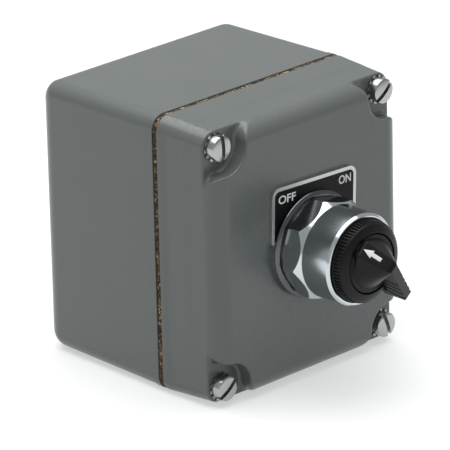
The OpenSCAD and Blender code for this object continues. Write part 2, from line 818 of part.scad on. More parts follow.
module knob_shaft() {
    color([0.72, 0.72, 0.74]) at_operator() difference() {
        translate([0, 0, shaft_low_z]) cylinder(r = shaft_r, h = shaft_high_z - shaft_low_z);
        translate([0, 0, clip_z - thread_gap]) difference() {
            cylinder(r = shaft_r + cut, h = clip_t + 2 * thread_gap);
            cylinder(r = shaft_r - clip_neck, h = clip_t + 2 * thread_gap);
        }
        translate([0, 0, shaft_low_z - cut]) cylinder(r = cam_screw_r + thread_gap, h = cam_screw_len + cut);
    }
}

module retaining_clip() {
    color([0.5, 0.5, 0.52]) at_operator() translate([0, 0, clip_z])
        rotate_extrude(angle = 360 - clip_open) translate([shaft_r - clip_neck + thread_gap, 0])
            square([clip_r - shaft_r + clip_neck - thread_gap, clip_t]);
}

module cam() {
    far = 2 * cam_r;
    color([0.85, 0.83, 0.75]) at_operator() difference() {
        translate([0, 0, cam_z - 2 * cam_t]) cylinder(r = cam_r, h = 2 * cam_t);
        translate([0, 0, cam_mid_z]) rotate([0, 0, off_angle]) rotate([0, -cam_slant, 0])
            translate([-far, -far, -far]) cube([2 * far, 2 * far, far]);
        translate([0, 0, web_z - far]) cylinder(r = cam_recess_r, h = far);
        translate([0, 0, web_z - cut]) cylinder(r = cam_screw_r + cam_hole_gap, h = cam_web + 2 * cut);
        translate([0, 0, web_z + cam_web]) cylinder(r = shaft_r + thread_gap, h = cam_t);
        rotate([0, 0, 90 - stop_slack]) rotate_extrude(angle = throw_angle + 2 * stop_slack)
            translate([stop_slot_r, stop_z - stop_r - stop_gap]) square([cam_r, 2 * (stop_r + stop_gap)]);
        rotate([0, 0, -90]) rotate_extrude(angle = throw_angle)
            translate([detent_r - track_half, cam_z - track_d]) square([2 * track_half, track_d + cut]);
        for (a = [0, throw_angle])
            rotate([0, 0, a - 90]) translate([detent_r, 0, seat_z]) rotate([90, 0, 0]) sphere(r = seat_r);
    }
}

module cam_screw() {
    color([0.7, 0.7, 0.72]) at_operator() translate([0, 0, web_z]) {
        small_head(cam_screw_head_r, cam_screw_head_h);
        cylinder(r = cam_screw_r, h = cam_screw_len);
    }
}

module guide_plate() {
    color([0.66, 0.67, 0.66]) at_operator() translate([0, 0, block_z]) difference() {
        cylinder(r = housing_r, h = guide_t);
        for (s = [-1, 1]) {
            translate([s * rod_x, 0, -cut]) cylinder(r = rod_r + running_gap, h = guide_t + 2 * cut);
            translate([0, s * block_screw_y, -cut])
                cylinder(r = block_screw_r + block_hole_gap, h = guide_t + 2 * cut);
        }
    }
}

module push_rod(side, tip_z) {
    color([0.75, 0.75, 0.77]) at_operator() translate([side * rod_x, 0, tip_z]) {
        sphere(r = rod_r);
        translate([0, 0, -rod_len]) cylinder(r = rod_r, h = rod_len);
    }
}

module off_push_rod() {
    push_rod(1, off_tip_z);
}

module on_push_rod() {
    push_rod(-1, on_tip_z);
}

module contact_block() {
    shelf_y = terminal_y + shelf_over;
    color([0.32, 0.2, 0.15]) at_operator() difference() {
        union() {
            translate([-block_w / 2, -block_h / 2, block_low_z]) cube([block_w, block_h, block_d]);
            for (sx = [-1, 1]) translate([sx * rod_x - shelf_w / 2, -shelf_y, strip_z + strip_t])
                cube([shelf_w, 2 * shelf_y, shelf_t]);
        }
        for (sx = [-1, 1]) {
            translate([sx * rod_x - channel_w / 2, -channel_h / 2, floor_z])
                cube([channel_w, channel_h, channel_d + cut]);
            translate([sx * rod_x - bridge_w / 2 - slot_gap, -block_h / 2 - cut, strip_z - slot_gap])
                cube([bridge_w + 2 * slot_gap, block_h + 2 * cut, strip_t + slot_gap]);
            for (sy = [-1, 1]) translate([sx * rod_x, sy * terminal_y, strip_z])
                cylinder(r = terminal_r + thread_gap, h = terminal_len);
        }
        for (sy = [-1, 1]) translate([0, sy * block_screw_y, block_low_z - cut])
            cylinder(r = block_screw_r + block_hole_gap, h = block_d + 2 * cut);
    }
}

module block_screws() {
    shank = block_d + guide_t + block_screw_bite;
    color([0.72, 0.72, 0.74]) at_operator() for (sy = [-1, 1])
        translate([0, sy * block_screw_y, block_low_z]) {
            small_head(block_screw_head_r, block_screw_head_h);
            cylinder(r = block_screw_r, h = shank);
        }
}

module carrier(side, low_z) {
    color([0.85, 0.83, 0.75]) at_operator() translate([side * rod_x, 0, low_z]) difference() {
        translate([-carrier_w / 2, -carrier_h / 2, 0]) cube([carrier_w, carrier_h, carrier_len]);
        translate([-bridge_w / 2 - window_slack, -carrier_h / 2 - cut, bridge_up - window_gap])
            cube([bridge_w + 2 * window_slack, carrier_h + 2 * cut, window_h]);
        translate([0, 0, carrier_len - socket_d]) cylinder(r = rod_r + thread_gap, h = socket_d + cut);
    }
}

module off_carrier() {
    carrier(1, floor_z + spring_short);
}

module on_carrier() {
    carrier(-1, floor_z + spring_short + rod_lift);
}

module bridge(side, low_z) {
    color([0.8, 0.55, 0.3]) at_operator() translate([side * rod_x, 0, low_z + bridge_up]) {
        translate([-bridge_w / 2, -bridge_len / 2, 0]) cube([bridge_w, bridge_len, strip_t]);
        for (sy = [-1, 1]) translate([0, sy * contact_y, -contact_h])
            cylinder(r = contact_r, h = contact_h + strip_t / 2);
    }
}

module off_bridge() {
    bridge(1, floor_z + spring_short);
}

module on_bridge() {
    bridge(-1, floor_z + spring_short + rod_lift);
}

module contact_spring(side, low_z) {
    high = window_h - window_gap - strip_t - 2 * detent_gap;
    color([0.6, 0.6, 0.62]) at_operator()
        translate([side * rod_x, 0, low_z + bridge_up + strip_t + detent_gap])
            coil(contact_spring_r, contact_wire_r, high, contact_turns);
}

module off_contact_spring() {
    contact_spring(1, floor_z + spring_short);
}

module on_contact_spring() {
    contact_spring(-1, floor_z + spring_short + rod_lift);
}

module return_spring(side, high) {
    color([0.6, 0.6, 0.62]) at_operator() translate([side * rod_x, 0, floor_z + detent_gap])
        coil(return_spring_r, return_wire_r, high - 2 * detent_gap, return_turns);
}

module off_return_spring() {
    return_spring(1, spring_short);
}

module on_return_spring() {
    return_spring(-1, spring_short + rod_lift);
}

module fixed_contacts() {
    low_y = contact_y - contact_r;
    color([0.8, 0.55, 0.3]) at_operator() for (sx = [-1, 1], sy = [0, 1]) mirror([0, sy, 0])
        translate([sx * rod_x, 0, strip_z]) difference() {
            union() {
                translate([-bridge_w / 2, low_y, 0])
                    cube([bridge_w, terminal_y + tongue_over - low_y, strip_t]);
                translate([0, contact_y, strip_t / 2]) cylinder(r = contact_r, h = contact_h + strip_t / 2);
            }
            translate([0, terminal_y, -cut]) cylinder(r = terminal_r + clamp_gap, h = strip_t + 2 * cut);
        }
}

module terminal_clamps() {
    color([0.75, 0.75, 0.7]) at_operator() for (sx = [-1, 1], sy = [-1, 1])
        translate([sx * rod_x, sy * terminal_y, strip_z - clamp_t]) difference() {
            translate([-clamp_w / 2, -clamp_w / 2, 0]) cube([clamp_w, clamp_w, clamp_t]);
            translate([0, 0, -cut]) cylinder(r = terminal_r + clamp_gap, h = clamp_t + 2 * cut);
        }
}

module terminal_screws() {
    color([0.72, 0.72, 0.74]) at_operator() for (sx = [-1, 1], sy = [-1, 1])
        translate([sx * rod_x, sy * terminal_y, strip_z - clamp_t]) {
            small_head(terminal_head_r, terminal_head_h);
            cylinder(r = terminal_r, h = terminal_len);
        }
}

back_box();
cover();
cover_gasket();
cover_screws();
cover_lock_washers();
ground_screw();
legend_plate();
panel_gasket();
trim_washer();
ring_nut();
operator_body();
bezel_ring();
shaft_seal();
detent_ball();
detent_spring();
stop_pin();
selector_knob();
arrow_insert();
knob_shaft();
retaining_clip();
cam();
cam_screw();
guide_plate();
off_push_rod();
on_push_rod();
contact_block();
block_screws();
off_carrier();
on_carrier();
off_bridge();
on_bridge();
off_contact_spring();
on_contact_spring();
off_return_spring();
on_return_spring();
fixed_contacts();
terminal_clamps();
terminal_screws();
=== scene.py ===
# %% [markdown]
# A selector switch station, dressed for its picture.
# The construction is already done: a cast box and cover, a chromed nut, a lever knob and the works
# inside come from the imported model. This lesson gives every piece the surface that it really has,
# and replaces the pieces whose roundness shows with finer meshes in the same place. A few small sizes
# change by less than a millimetre on the way, and the cells say where.

# %% Load the frame
import json
import math

import bmesh
import bpy
import numpy as np
from mathutils import Matrix, Vector, noise


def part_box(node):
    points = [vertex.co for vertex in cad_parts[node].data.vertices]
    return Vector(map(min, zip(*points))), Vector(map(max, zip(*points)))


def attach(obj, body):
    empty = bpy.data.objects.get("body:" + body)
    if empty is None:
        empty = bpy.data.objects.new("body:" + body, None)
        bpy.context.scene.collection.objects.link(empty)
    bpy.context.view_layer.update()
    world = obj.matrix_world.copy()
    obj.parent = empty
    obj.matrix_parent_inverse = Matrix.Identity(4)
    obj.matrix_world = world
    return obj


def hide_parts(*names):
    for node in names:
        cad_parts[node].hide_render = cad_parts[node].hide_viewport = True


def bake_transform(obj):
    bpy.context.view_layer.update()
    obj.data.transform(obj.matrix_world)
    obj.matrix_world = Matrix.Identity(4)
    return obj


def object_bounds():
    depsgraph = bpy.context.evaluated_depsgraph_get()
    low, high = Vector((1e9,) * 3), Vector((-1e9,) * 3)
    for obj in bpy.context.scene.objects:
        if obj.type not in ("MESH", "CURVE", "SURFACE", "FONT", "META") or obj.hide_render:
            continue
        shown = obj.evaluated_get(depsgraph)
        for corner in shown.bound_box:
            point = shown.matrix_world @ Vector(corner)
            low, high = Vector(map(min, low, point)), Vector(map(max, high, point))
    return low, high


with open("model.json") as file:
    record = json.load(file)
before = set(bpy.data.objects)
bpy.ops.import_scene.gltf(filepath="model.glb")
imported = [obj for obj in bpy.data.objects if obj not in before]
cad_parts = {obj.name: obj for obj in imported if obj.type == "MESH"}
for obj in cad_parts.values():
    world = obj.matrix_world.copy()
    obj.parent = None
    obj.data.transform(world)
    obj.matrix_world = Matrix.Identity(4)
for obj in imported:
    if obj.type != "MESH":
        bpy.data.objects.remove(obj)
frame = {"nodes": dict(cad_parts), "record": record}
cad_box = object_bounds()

MM = 0.001
nodes = frame["nodes"]

# %% [markdown]
# The part hangs on a wall, so it was drawn looking at the wall: x to the right, y up, and z out of
# the wall, all in millimetres. Working in the drawing's own directions keeps each outline easy to
# read, and one matrix then stands a finished mesh up in the frame, where the front faces -Y.
# Sizes come from the CAD nodes' boxes wherever a box can give them.

# %% Levels and sizes from the frame
def levels_of(name):
    """Lowest and highest distance from the wall of a CAD node."""
    low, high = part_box(name)
    return -high.y / MM, -low.y / MM


def reach_of(name):
    """How far a CAD node reaches to the right of and above the middle of the box."""
    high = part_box(name)[1]
    return high.x / MM, high.z / MM


half_w, half_h = reach_of("back_box")
mouth = levels_of("back_box")[1]
rim, front = levels_of("cover")
pocket = levels_of("cover_lock_washers")[0]
seat = levels_of("cover_lock_washers")[1]
axis_x, axis_y = reach_of("trim_washer")
washer_r = (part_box("trim_washer")[1].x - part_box("trim_washer")[0].x) / 2 / MM
axis_x, axis_y = axis_x - washer_r, axis_y - washer_r

UPRIGHT = Matrix(((MM, 0, 0, 0), (0, 0, -MM, 0), (0, MM, 0, 0), (0, 0, 0, 1)))
AT_OPERATOR = UPRIGHT @ Matrix.Translation((axis_x, axis_y, 0))
print("mouth", round(mouth, 2), "front", round(front, 2), "operator axis", round(axis_y, 3), "mm")

# %% [markdown]
# Almost every piece here is a stack of rings: outlines joined by quads, from a cast box to a turned
# nut. So one helper joins rings, and a second one makes the finished object. Edges sharper than an
# angle stay crisp, and the rest is shaded smooth.

# %% Mesh helpers
def join_rings(bm, rings, ends="capped"):
    """Joins rings of points with quads; the ends are capped, joined to each other, or left as poles."""
    loops = [[bm.verts.new(point) for point in ring] for ring in rings]
    count = len(loops[0])
    pairs = list(zip(loops, loops[1:])) + ([(loops[-1], loops[0])] if ends == "joined" else [])
    for lower, upper in pairs:
        for i in range(count):
            j = (i + 1) % count
            bm.faces.new((lower[i], lower[j], upper[j], upper[i]))
    if ends == "capped":
        bm.faces.new(loops[0][::-1])
        bm.faces.new(loops[-1])


def prism(bm, outline, low, high):
    """A straight prism on an outline."""
    join_rings(bm, [[(x, y, z) for x, y in outline] for z in (low, high)])


def turn(bm, profile, ends="joined", segments=192):
    """Turns a profile of radius and height about a line out of the wall."""
    angles = [2 * math.pi * i / segments for i in range(segments)]
    join_rings(bm, [[(r * math.cos(a), r * math.sin(a), z) for a in angles] for r, z in profile], ends)


def circle(centre, r, steps=64):
    """Points round a circle."""
    angles = [2 * math.pi * i / steps for i in range(steps)]
    return [(centre[0] + r * math.cos(a), centre[1] + r * math.sin(a)) for a in angles]


def object_of(name, bm, place=UPRIGHT, sharp=30):
    """Turns a bmesh in millimetres into an object whose own place is the frame's origin."""
    bmesh.ops.remove_doubles(bm, verts=bm.verts, dist=1e-5)
    bmesh.ops.transform(bm, matrix=place, verts=bm.verts)
    bmesh.ops.recalc_face_normals(bm, faces=bm.faces)
    mesh = bpy.data.meshes.new(name)
    bm.to_mesh(mesh)
    bm.free()
    mesh.polygons.foreach_set("use_smooth", [True] * len(mesh.polygons))
    mesh.set_sharp_from_angle(angle=math.radians(sharp))
    piece = bpy.data.objects.new(name, mesh)
    bpy.context.scene.collection.objects.link(piece)
    return piece


def plain_mesh(piece, sharp=30):
    """Turns a piece and its modifiers into one plain mesh."""
    graph = bpy.context.evaluated_depsgraph_get()
    mesh = bpy.data.meshes.new_from_object(piece.evaluated_get(graph))
    piece.modifiers.clear()
    piece.data = mesh
    mesh.polygons.foreach_set("use_smooth", [True] * len(mesh.polygons))
    mesh.set_sharp_from_angle(angle=math.radians(sharp))
    return piece


def carve(piece, tool, how="DIFFERENCE", sharp=30):
    """Cuts a tool from a piece, or joins it on, and removes the tool."""
    step = piece.modifiers.new("carve", "BOOLEAN")
    step.operation = how
    step.solver = "EXACT"
    step.object = tool
    plain_mesh(piece, sharp)
    bpy.data.objects.remove(tool)
    return piece


def soften(piece, width, segments=1, angle=35, sharp=30):
    """Breaks the sharp edges of a piece by a small width in millimetres."""
    step = piece.modifiers.new("soften", "BEVEL")
    step.width = width * MM
    step.segments = segments
    step.limit_method = "ANGLE"
    step.angle_limit = math.radians(angle)
    return plain_mesh(piece, sharp)


# %% [markdown]
# Materials come next. A small function turns the hex colours that a picture editor shows into the
# linear values that a shader wants, another starts a material with its constant values set on the
# shader, and a third adds a node with its settings and links.

# %% Material helpers
def linear(hex_colour):
    """sRGB hex to linear RGBA."""
    parts = [int(hex_colour[i:i + 2], 16) / 255 for i in (1, 3, 5)]
    return tuple(c / 12.92 if c <= 0.04045 else ((c + 0.055) / 1.055) ** 2.4 for c in parts) + (1.0,)


def start(name, hex_colour, **values):
    """A new material, its node tree and its shader."""
    material = bpy.data.materials.new(name)
    material.use_nodes = True
    shader = material.node_tree.nodes["Principled BSDF"]
    shader.inputs["Base Color"].default_value = linear(hex_colour)
    for key, value in values.items():
        shader.inputs[key.replace("_", " ")].default_value = value
    material.diffuse_color = linear(hex_colour)
    return material, material.node_tree, shader


def add(tree, kind, inputs=None, **settings):
    """Adds a node, sets its properties, and sets or links its inputs by name or number."""
    node = tree.nodes.new(kind)
    for key, value in settings.items():
        setattr(node, key, value)
    for key, value in (inputs or {}).items():
        if isinstance(value, bpy.types.NodeSocket):
            tree.links.new(value, node.inputs[key])
        else:
            node.inputs[key].default_value = value
    return node


# %% [markdown]
# Sprayed, baked enamel on an aluminium casting. Wet paint pulls itself into shallow hills 1 to 2 mm
# apart, called orange peel, so its gloss is a little broken. The colour drifts very slightly, where
# the coat is thicker.

# %% Grey enamel
def baked_grey_enamel():
    material, tree, shader = start("baked_grey_enamel", "#666a69", IOR=1.5)
    place = add(tree, "ShaderNodeTexCoord").outputs["Object"]
    drift = add(tree, "ShaderNodeTexNoise", {"Vector": place, "Scale": 1 / (25 * MM), "Detail": 2.0})
    colour = add(tree, "ShaderNodeMix", {"Factor": drift.outputs["Fac"], 6: linear("#636866"),
                                         7: linear("#686c6b")}, data_type="RGBA")
    hills = add(tree, "ShaderNodeTexNoise", {"Vector": place, "Scale": 1 / (1.7 * MM), "Detail": 1.5})
    gloss = add(tree, "ShaderNodeMapRange", {"Value": hills.outputs["Fac"], "To Min": 0.22, "To Max": 0.31})
    bump = add(tree, "ShaderNodeBump", {"Height": hills.outputs["Fac"], "Distance": 0.012 * MM})
    tree.links.new(colour.outputs[2], shader.inputs["Base Color"])
    tree.links.new(gloss.outputs["Result"], shader.inputs["Roughness"])
    tree.links.new(bump.outputs["Normal"], shader.inputs["Normal"])
    return material


# %% [markdown]
# Pressed cork: grains from half a millimetre to a millimetre, tan to nearly black, with open pores.

# %% Cork
def granulated_cork():
    material, tree, shader = start("granulated_cork", "#4c3a26", Roughness=0.9)
    place = add(tree, "ShaderNodeTexCoord").outputs["Object"]
    grains = add(tree, "ShaderNodeTexVoronoi", {"Vector": place, "Scale": 1 / (0.8 * MM)})
    tone = add(tree, "ShaderNodeSeparateColor", {"Color": grains.outputs["Color"]})
    ramp = add(tree, "ShaderNodeValToRGB", {"Fac": tone.outputs["Red"]})
    stops = ramp.color_ramp.elements
    stops[0].color, stops[1].color = linear("#17120c"), linear("#b39a70")
    for position, colour in ((0.35, "#2c2116"), (0.6, "#5a4228"), (0.82, "#7d6643")):
        stops.new(position).color = linear(colour)
    pores = add(tree, "ShaderNodeBump", {"Height": grains.outputs["Distance"], "Distance": 0.25 * MM})
    tree.links.new(ramp.outputs["Color"], shader.inputs["Base Color"])
    tree.links.new(pores.outputs["Normal"], shader.inputs["Normal"])
    return material


# %% [markdown]
# Metals. A metal's colour is its reflection, so the base colour stays pale and the roughness does the
# work: low for plated chrome, about a quarter for bright zinc, more for a casting as it comes from its
# mould. Drawn steel and rolled sheet have grain that is longer one way than the other. The washer
# under the nut looks darker than the chrome beside it, so it is drawn in a darker, rougher plate here.

# %% Metals
def metal(name, hex_colour, low, high, grain_mm, depth_mm, stretch=(1, 1, 1)):
    """A metal whose roughness wanders between two values, with grain of a real size and depth."""
    material, tree, shader = start(name, hex_colour, Metallic=1.0)
    place = add(tree, "ShaderNodeMapping", {"Vector": add(tree, "ShaderNodeTexCoord").outputs["Object"],
                                            "Scale": stretch})
    grain = add(tree, "ShaderNodeTexNoise", {"Vector": place.outputs["Vector"], "Scale": 1 / (grain_mm * MM),
                                             "Detail": 2.0})
    gloss = add(tree, "ShaderNodeMapRange", {"Value": grain.outputs["Fac"], "To Min": low, "To Max": high})
    bump = add(tree, "ShaderNodeBump", {"Height": grain.outputs["Fac"], "Distance": depth_mm * MM})
    tree.links.new(gloss.outputs["Result"], shader.inputs["Roughness"])
    tree.links.new(bump.outputs["Normal"], shader.inputs["Normal"])
    return material


# %% [markdown]
# Plastics, rubber and ink. A satin moulding copies the fine spark-eroded grain of its mould. A grain
# of 0.05 mm is too fine to show, so it is drawn coarser here: it only has to spread the highlight.

# %% Plastics, rubber and ink
def moulded(name, hex_a, hex_b, low, high, grain_mm=0.35, depth_mm=0.006, ior=1.5):
    """A moulded or printed finish between two close colours."""
    material, tree, shader = start(name, hex_a, IOR=ior)
    place = add(tree, "ShaderNodeTexCoord").outputs["Object"]
    flow = add(tree, "ShaderNodeTexNoise", {"Vector": place, "Scale": 1 / (6 * MM)})
    colour = add(tree, "ShaderNodeMix", {"Factor": flow.outputs["Fac"], 6: linear(hex_a), 7: linear(hex_b)},
                 data_type="RGBA")
    grain = add(tree, "ShaderNodeTexNoise", {"Vector": place, "Scale": 1 / (grain_mm * MM), "Detail": 2.0})
    gloss = add(tree, "ShaderNodeMapRange", {"Value": grain.outputs["Fac"], "To Min": low, "To Max": high})
    bump = add(tree, "ShaderNodeBump", {"Height": grain.outputs["Fac"], "Distance": depth_mm * MM})
    tree.links.new(colour.outputs[2], shader.inputs["Base Color"])
    tree.links.new(gloss.outputs["Result"], shader.inputs["Roughness"])
    tree.links.new(bump.outputs["Normal"], shader.inputs["Normal"])
    return material


# %% Every finish by name
FINISHES = {
    "grey_enamel": baked_grey_enamel(),
    "cork": granulated_cork(),
    "bright_zinc": metal("bright_zinc_plate", "#a8aaa9", 0.16, 0.3, 0.6, 0.004),
    "chrome": metal("polished_chromium_plate", "#c4c9cd", 0.13, 0.19, 4.0, 0.002),
    # A darker, rougher plate for the washer under the nut, which looks darker than the chrome beside it.
    "darker_washer": metal("dark_nickel_plate", "#5e6063", 0.2, 0.3, 0.6, 0.004),
    "bare_aluminium": metal("bare_rolled_aluminium", "#bcbdbb", 0.3, 0.42, 0.5, 0.003, (0.1, 1, 1)),
    "black_anodised": metal("black_anodised_aluminium", "#202021", 0.34, 0.46, 0.4, 0.003),
    "zinc_casting": metal("die_cast_zinc", "#9b9da0", 0.42, 0.58, 0.8, 0.01),
    "steel": metal("drawn_steel", "#b4b5b8", 0.24, 0.38, 0.5, 0.004, (1, 0.1, 1)),
    "copper_alloy": metal("stamped_copper_alloy", "#c98f5c", 0.24, 0.4, 0.6, 0.004),
    "green_screw": metal("green_dyed_steel", "#2c6b45", 0.26, 0.4, 0.6, 0.004),
    "black_plastic": moulded("satin_black_nylon", "#0c0c0d", "#101011", 0.34, 0.46, ior=1.3),
    "white_plastic": moulded("white_moulded_nylon", "#e9e9e6", "#f0f0ed", 0.4, 0.5),
    "black_rubber": moulded("moulded_nitrile_rubber", "#101011", "#161617", 0.6, 0.75),
    "brown_phenolic": moulded("brown_phenolic", "#37231a", "#3f2a1f", 0.3, 0.42),
    "ivory_nylon": moulded("ivory_nylon", "#d6ccae", "#dcd3b8", 0.42, 0.54),
    "white_ink": moulded("white_screen_ink", "#f0f0ed", "#f6f6f3", 0.5, 0.6),
}
for entry in frame["record"]["subparts"]:
    shown = nodes[entry["node"]]
    shown.data.materials.clear()
    shown.data.materials.append(FINISHES[entry["material_slot"]])
print("finishes:", len(FINISHES))


def hand_over(piece, slot, body, *replaced, finish=None):
    """Gives a piece its finish, the slot's unless another is named, puts it on its body, and hides the CAD
    nodes that it stands for.
    """
    piece.data.materials.clear()
    piece.data.materials.append(FINISHES[finish or slot])
    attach(piece, body)
    if replaced:
        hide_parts(*replaced)
    print(piece.name, len(piece.data.polygons), "faces")
    return piece


# %% [markdown]
# The box is a casting with drafted sides, so it could be a bevelled cube with its far end scaled. Rings
# give more: each ring is a rounded rectangle, and the list of rings is the side view of the wall, with
# the shallow lip behind the gasket and the large radius round the back. An extra point beside each
# end of a straight keeps the flat faces flat where smooth shading meets them.

# %% Back box, outside
CORNER_R = 5.8
BOX_DRAFT = 0.8
BACK_EDGE_R = 8.1
EDGE_TAPER = 0.7
BACK_STEPS = 12
LIP = 2.6
LIP_STEP = 0.18
LIP_SLOPE = 0.25
MOUTH_EDGE = 0.12


def rounded(w, h, r, steps=10, near=0.5):
    """A rounded rectangle of half width w and half height h, counter-clockwise."""
    outline = []
    for quarter in range(4):
        sx, sy = ((1, 1), (-1, 1), (-1, -1), (1, -1))[quarter]
        cx, cy = sx * (w - r), sy * (h - r)
        first = math.pi / 2 * quarter
        along = Vector((math.cos(first + math.pi / 2), math.sin(first + math.pi / 2))) * near
        arc = [Vector((cx + r * math.cos(first + math.pi / 2 * i / steps),
                       cy + r * math.sin(first + math.pi / 2 * i / steps))) for i in range(steps + 1)]
        after = Vector((-math.cos(first), -math.sin(first))) * near
        outline += [arc[0] - along] + arc + [arc[-1] + after]
    return [tuple(point) for point in outline]


def cast_ring(z, inset, r=CORNER_R):
    """A ring of the casting at a distance from the wall, set in from the box's sides."""
    return [(x, y, z) for x, y in rounded(half_w - inset, half_h - inset, r)]


box_rings = [cast_ring(mouth, MOUTH_EDGE), cast_ring(mouth - MOUTH_EDGE, 0), cast_ring(mouth - LIP, 0),
             cast_ring(mouth - LIP - LIP_SLOPE, LIP_STEP), cast_ring(mouth - LIP - 1, LIP_STEP)]
for step in range(BACK_STEPS + 1):
    bend = math.pi / 2 * step / BACK_STEPS
    turned = 1 - math.cos(bend)
    box_rings.append(cast_ring(BACK_EDGE_R * (1 - math.sin(bend)), BOX_DRAFT + BACK_EDGE_R * turned,
                               CORNER_R * (1 - EDGE_TAPER * turned)))
box_rings.append(cast_ring(0, BOX_DRAFT + BACK_EDGE_R + 0.6, CORNER_R * (1 - EDGE_TAPER) - 0.3))
bm = bmesh.new()
join_rings(bm, box_rings)
box = object_of("box_casting", bm)
print("box rings:", len(box_rings))

# %% [markdown]
# The hollow keeps a round boss in each corner for the cover screws. Cutters that don't touch each
# other can share one object, so the hollow is one cut and all the holes are another. Every cutter
# runs a little way over the faces that it cuts, because two faces in one plane confuse a boolean.

# %% Back box, inside
OVER = 1
BOX_WALL = 5
BACK_WALL = 5
BOSS_R = 7
CAD_HEAD_R = 4.85
SCREW_R = 3.125
SCREW_LEN = 38.1
SCREW_TIP_ROOM = 2
THREAD_GAP = 0.05
LOOSE_GAP = 0.45
screw_x = reach_of("cover_screws")[0] - CAD_HEAD_R
screw_y = reach_of("cover_screws")[1] - CAD_HEAD_R
CORNERS = [(sx * screw_x, sy * screw_y) for sx in (-1, 1) for sy in (-1, 1)]


def hollow(wall, boss_r, steps=16):
    """Outline of the room inside a cast wall, less a round boss in each corner."""
    wall_x, wall_y = half_w - wall, half_h - wall
    low = -math.acos((wall_x - screw_x) / boss_r)
    high = -math.pi - math.asin((wall_y - screw_y) / boss_r)
    arc = [(screw_x + boss_r * math.cos(low + (high - low) * i / steps),
            screw_y + boss_r * math.sin(low + (high - low) * i / steps)) for i in range(steps + 1)]
    quarters = (((1, 1), arc), ((-1, 1), arc[::-1]), ((-1, -1), arc), ((1, -1), arc[::-1]))
    return [(sx * x, sy * y) for (sx, sy), points in quarters for x, y in points]


mounts = {mount["name"]: mount for mount in frame["record"]["mounts"]}
conduit = mounts["conduit_entry"]
holes = mounts["mounting_holes"]["dims"]
conduit_r = conduit["dims"]["r_mm"]
conduit_out = -conduit["pos_m"][1] / MM
CONDUIT_BOSS = 3.9
CONDUIT_LEN = 12
GROUND = (-22, 14)
GROUND_BOSS_R, GROUND_BOSS_H, GROUND_R, GROUND_HOLE_D = 5, 6, 2.4, 8
ground_top = BACK_WALL + GROUND_BOSS_H

bm = bmesh.new()
prism(bm, hollow(BOX_WALL, BOSS_R), BACK_WALL, mouth + OVER)
carve(box, object_of("box_room", bm))

LIE_UP = UPRIGHT @ Matrix.Translation((0, -half_h, conduit_out)) @ Matrix.Rotation(-math.pi / 2, 4, "X")
bm = bmesh.new()
prism(bm, circle((0, 0), conduit_r + CONDUIT_BOSS, 96), BOX_WALL / 2, CONDUIT_LEN)
carve(box, object_of("conduit_boss", bm, LIE_UP), "UNION")
bm = bmesh.new()
prism(bm, circle(GROUND, GROUND_BOSS_R), BACK_WALL / 2, ground_top)
carve(box, object_of("ground_boss", bm), "UNION")

bm = bmesh.new()
for place in CORNERS:
    prism(bm, circle(place, SCREW_R + THREAD_GAP), seat - SCREW_LEN - SCREW_TIP_ROOM, mouth + OVER)
for sx in (-1, 1):
    for sy in (-1, 1):
        place = (sx * holes["spacing_x_mm"] / 2, sy * holes["spacing_y_mm"] / 2)
        prism(bm, circle(place, holes["hole_r_mm"]), -OVER, BACK_WALL + OVER)
prism(bm, circle(GROUND, GROUND_R + THREAD_GAP), ground_top - GROUND_HOLE_D, ground_top + OVER)
carve(box, object_of("box_holes", bm))
bm = bmesh.new()
prism(bm, circle((0, 0), conduit_r, 96), -OVER, CONDUIT_LEN + OVER)
carve(box, object_of("conduit_hole", bm, LIE_UP))
hand_over(box, "grey_enamel", "station", "back_box")

# %% [markdown]
# The cover has corner pockets whose walls flow round the screws and run out into the sides, with soft
# lips and a hollow blend at the floor. Rings can't make that, and bevels on a cut break where two radii
# meet. A distance field can: each face is a number that is negative inside the metal, and two faces
# are blended with a real radius. The field is then skinned on a grid that is fine only at the corners.

# %% Cover field
COVER_DRAFT = 1.1
FRONT_EDGE_R = 7
POCKET_R = 9.8
FLARE_R = 6
LIP_R = 0.65
FLOOR_BLEND_R = 1.3
RUN_OUT = 0.5


def outer_blend(a, b, r):
    """Where both faces hold, with their shared edge rounded to radius r."""
    edge = np.hypot(np.maximum(a + r, 0), np.maximum(b + r, 0)) - r
    return np.where((a > -r) & (b > -r), edge, np.maximum(a, b))


def inner_blend(a, b, r):
    """Where either face holds, with a hollow blend of radius r between them."""
    return -outer_blend(-a, -b, r)


flare_x, flare_top = half_w - COVER_DRAFT - FLARE_R, half_h - COVER_DRAFT - FLARE_R
flare_y = screw_y - math.sqrt((POCKET_R + FLARE_R) ** 2 - (flare_x - screw_x) ** 2)
flare_left = screw_x - math.sqrt((POCKET_R + FLARE_R) ** 2 - (flare_top - screw_y) ** 2)


def pocket_wall(u, v):
    """Distance into a corner pocket from its wall, seen from the front: negative in the metal."""
    wall = POCKET_R - np.hypot(u - screw_x, v - screw_y)
    for along, across, sx, sy, fx, fy in ((u, v, screw_x, screw_y, flare_x, flare_y),
                                          (v, u, screw_y, screw_x, flare_top, flare_left)):
        beyond = (along - sx) * (fy - sy) - (across - sy) * (fx - sx) < 0
        round_it = np.hypot(along - fx, across - fy) - FLARE_R
        run_out = along - (fx + FLARE_R) - RUN_OUT * (fy - across)
        wall = np.where(beyond, np.where(across >= fy, round_it, run_out), wall)
    at_corner = (u > screw_x) & (v > screw_y)
    flares = np.minimum(np.hypot(u - flare_x, v - flare_y), np.hypot(u - flare_left, v - flare_top))
    return np.where(at_corner, flares - FLARE_R, wall)


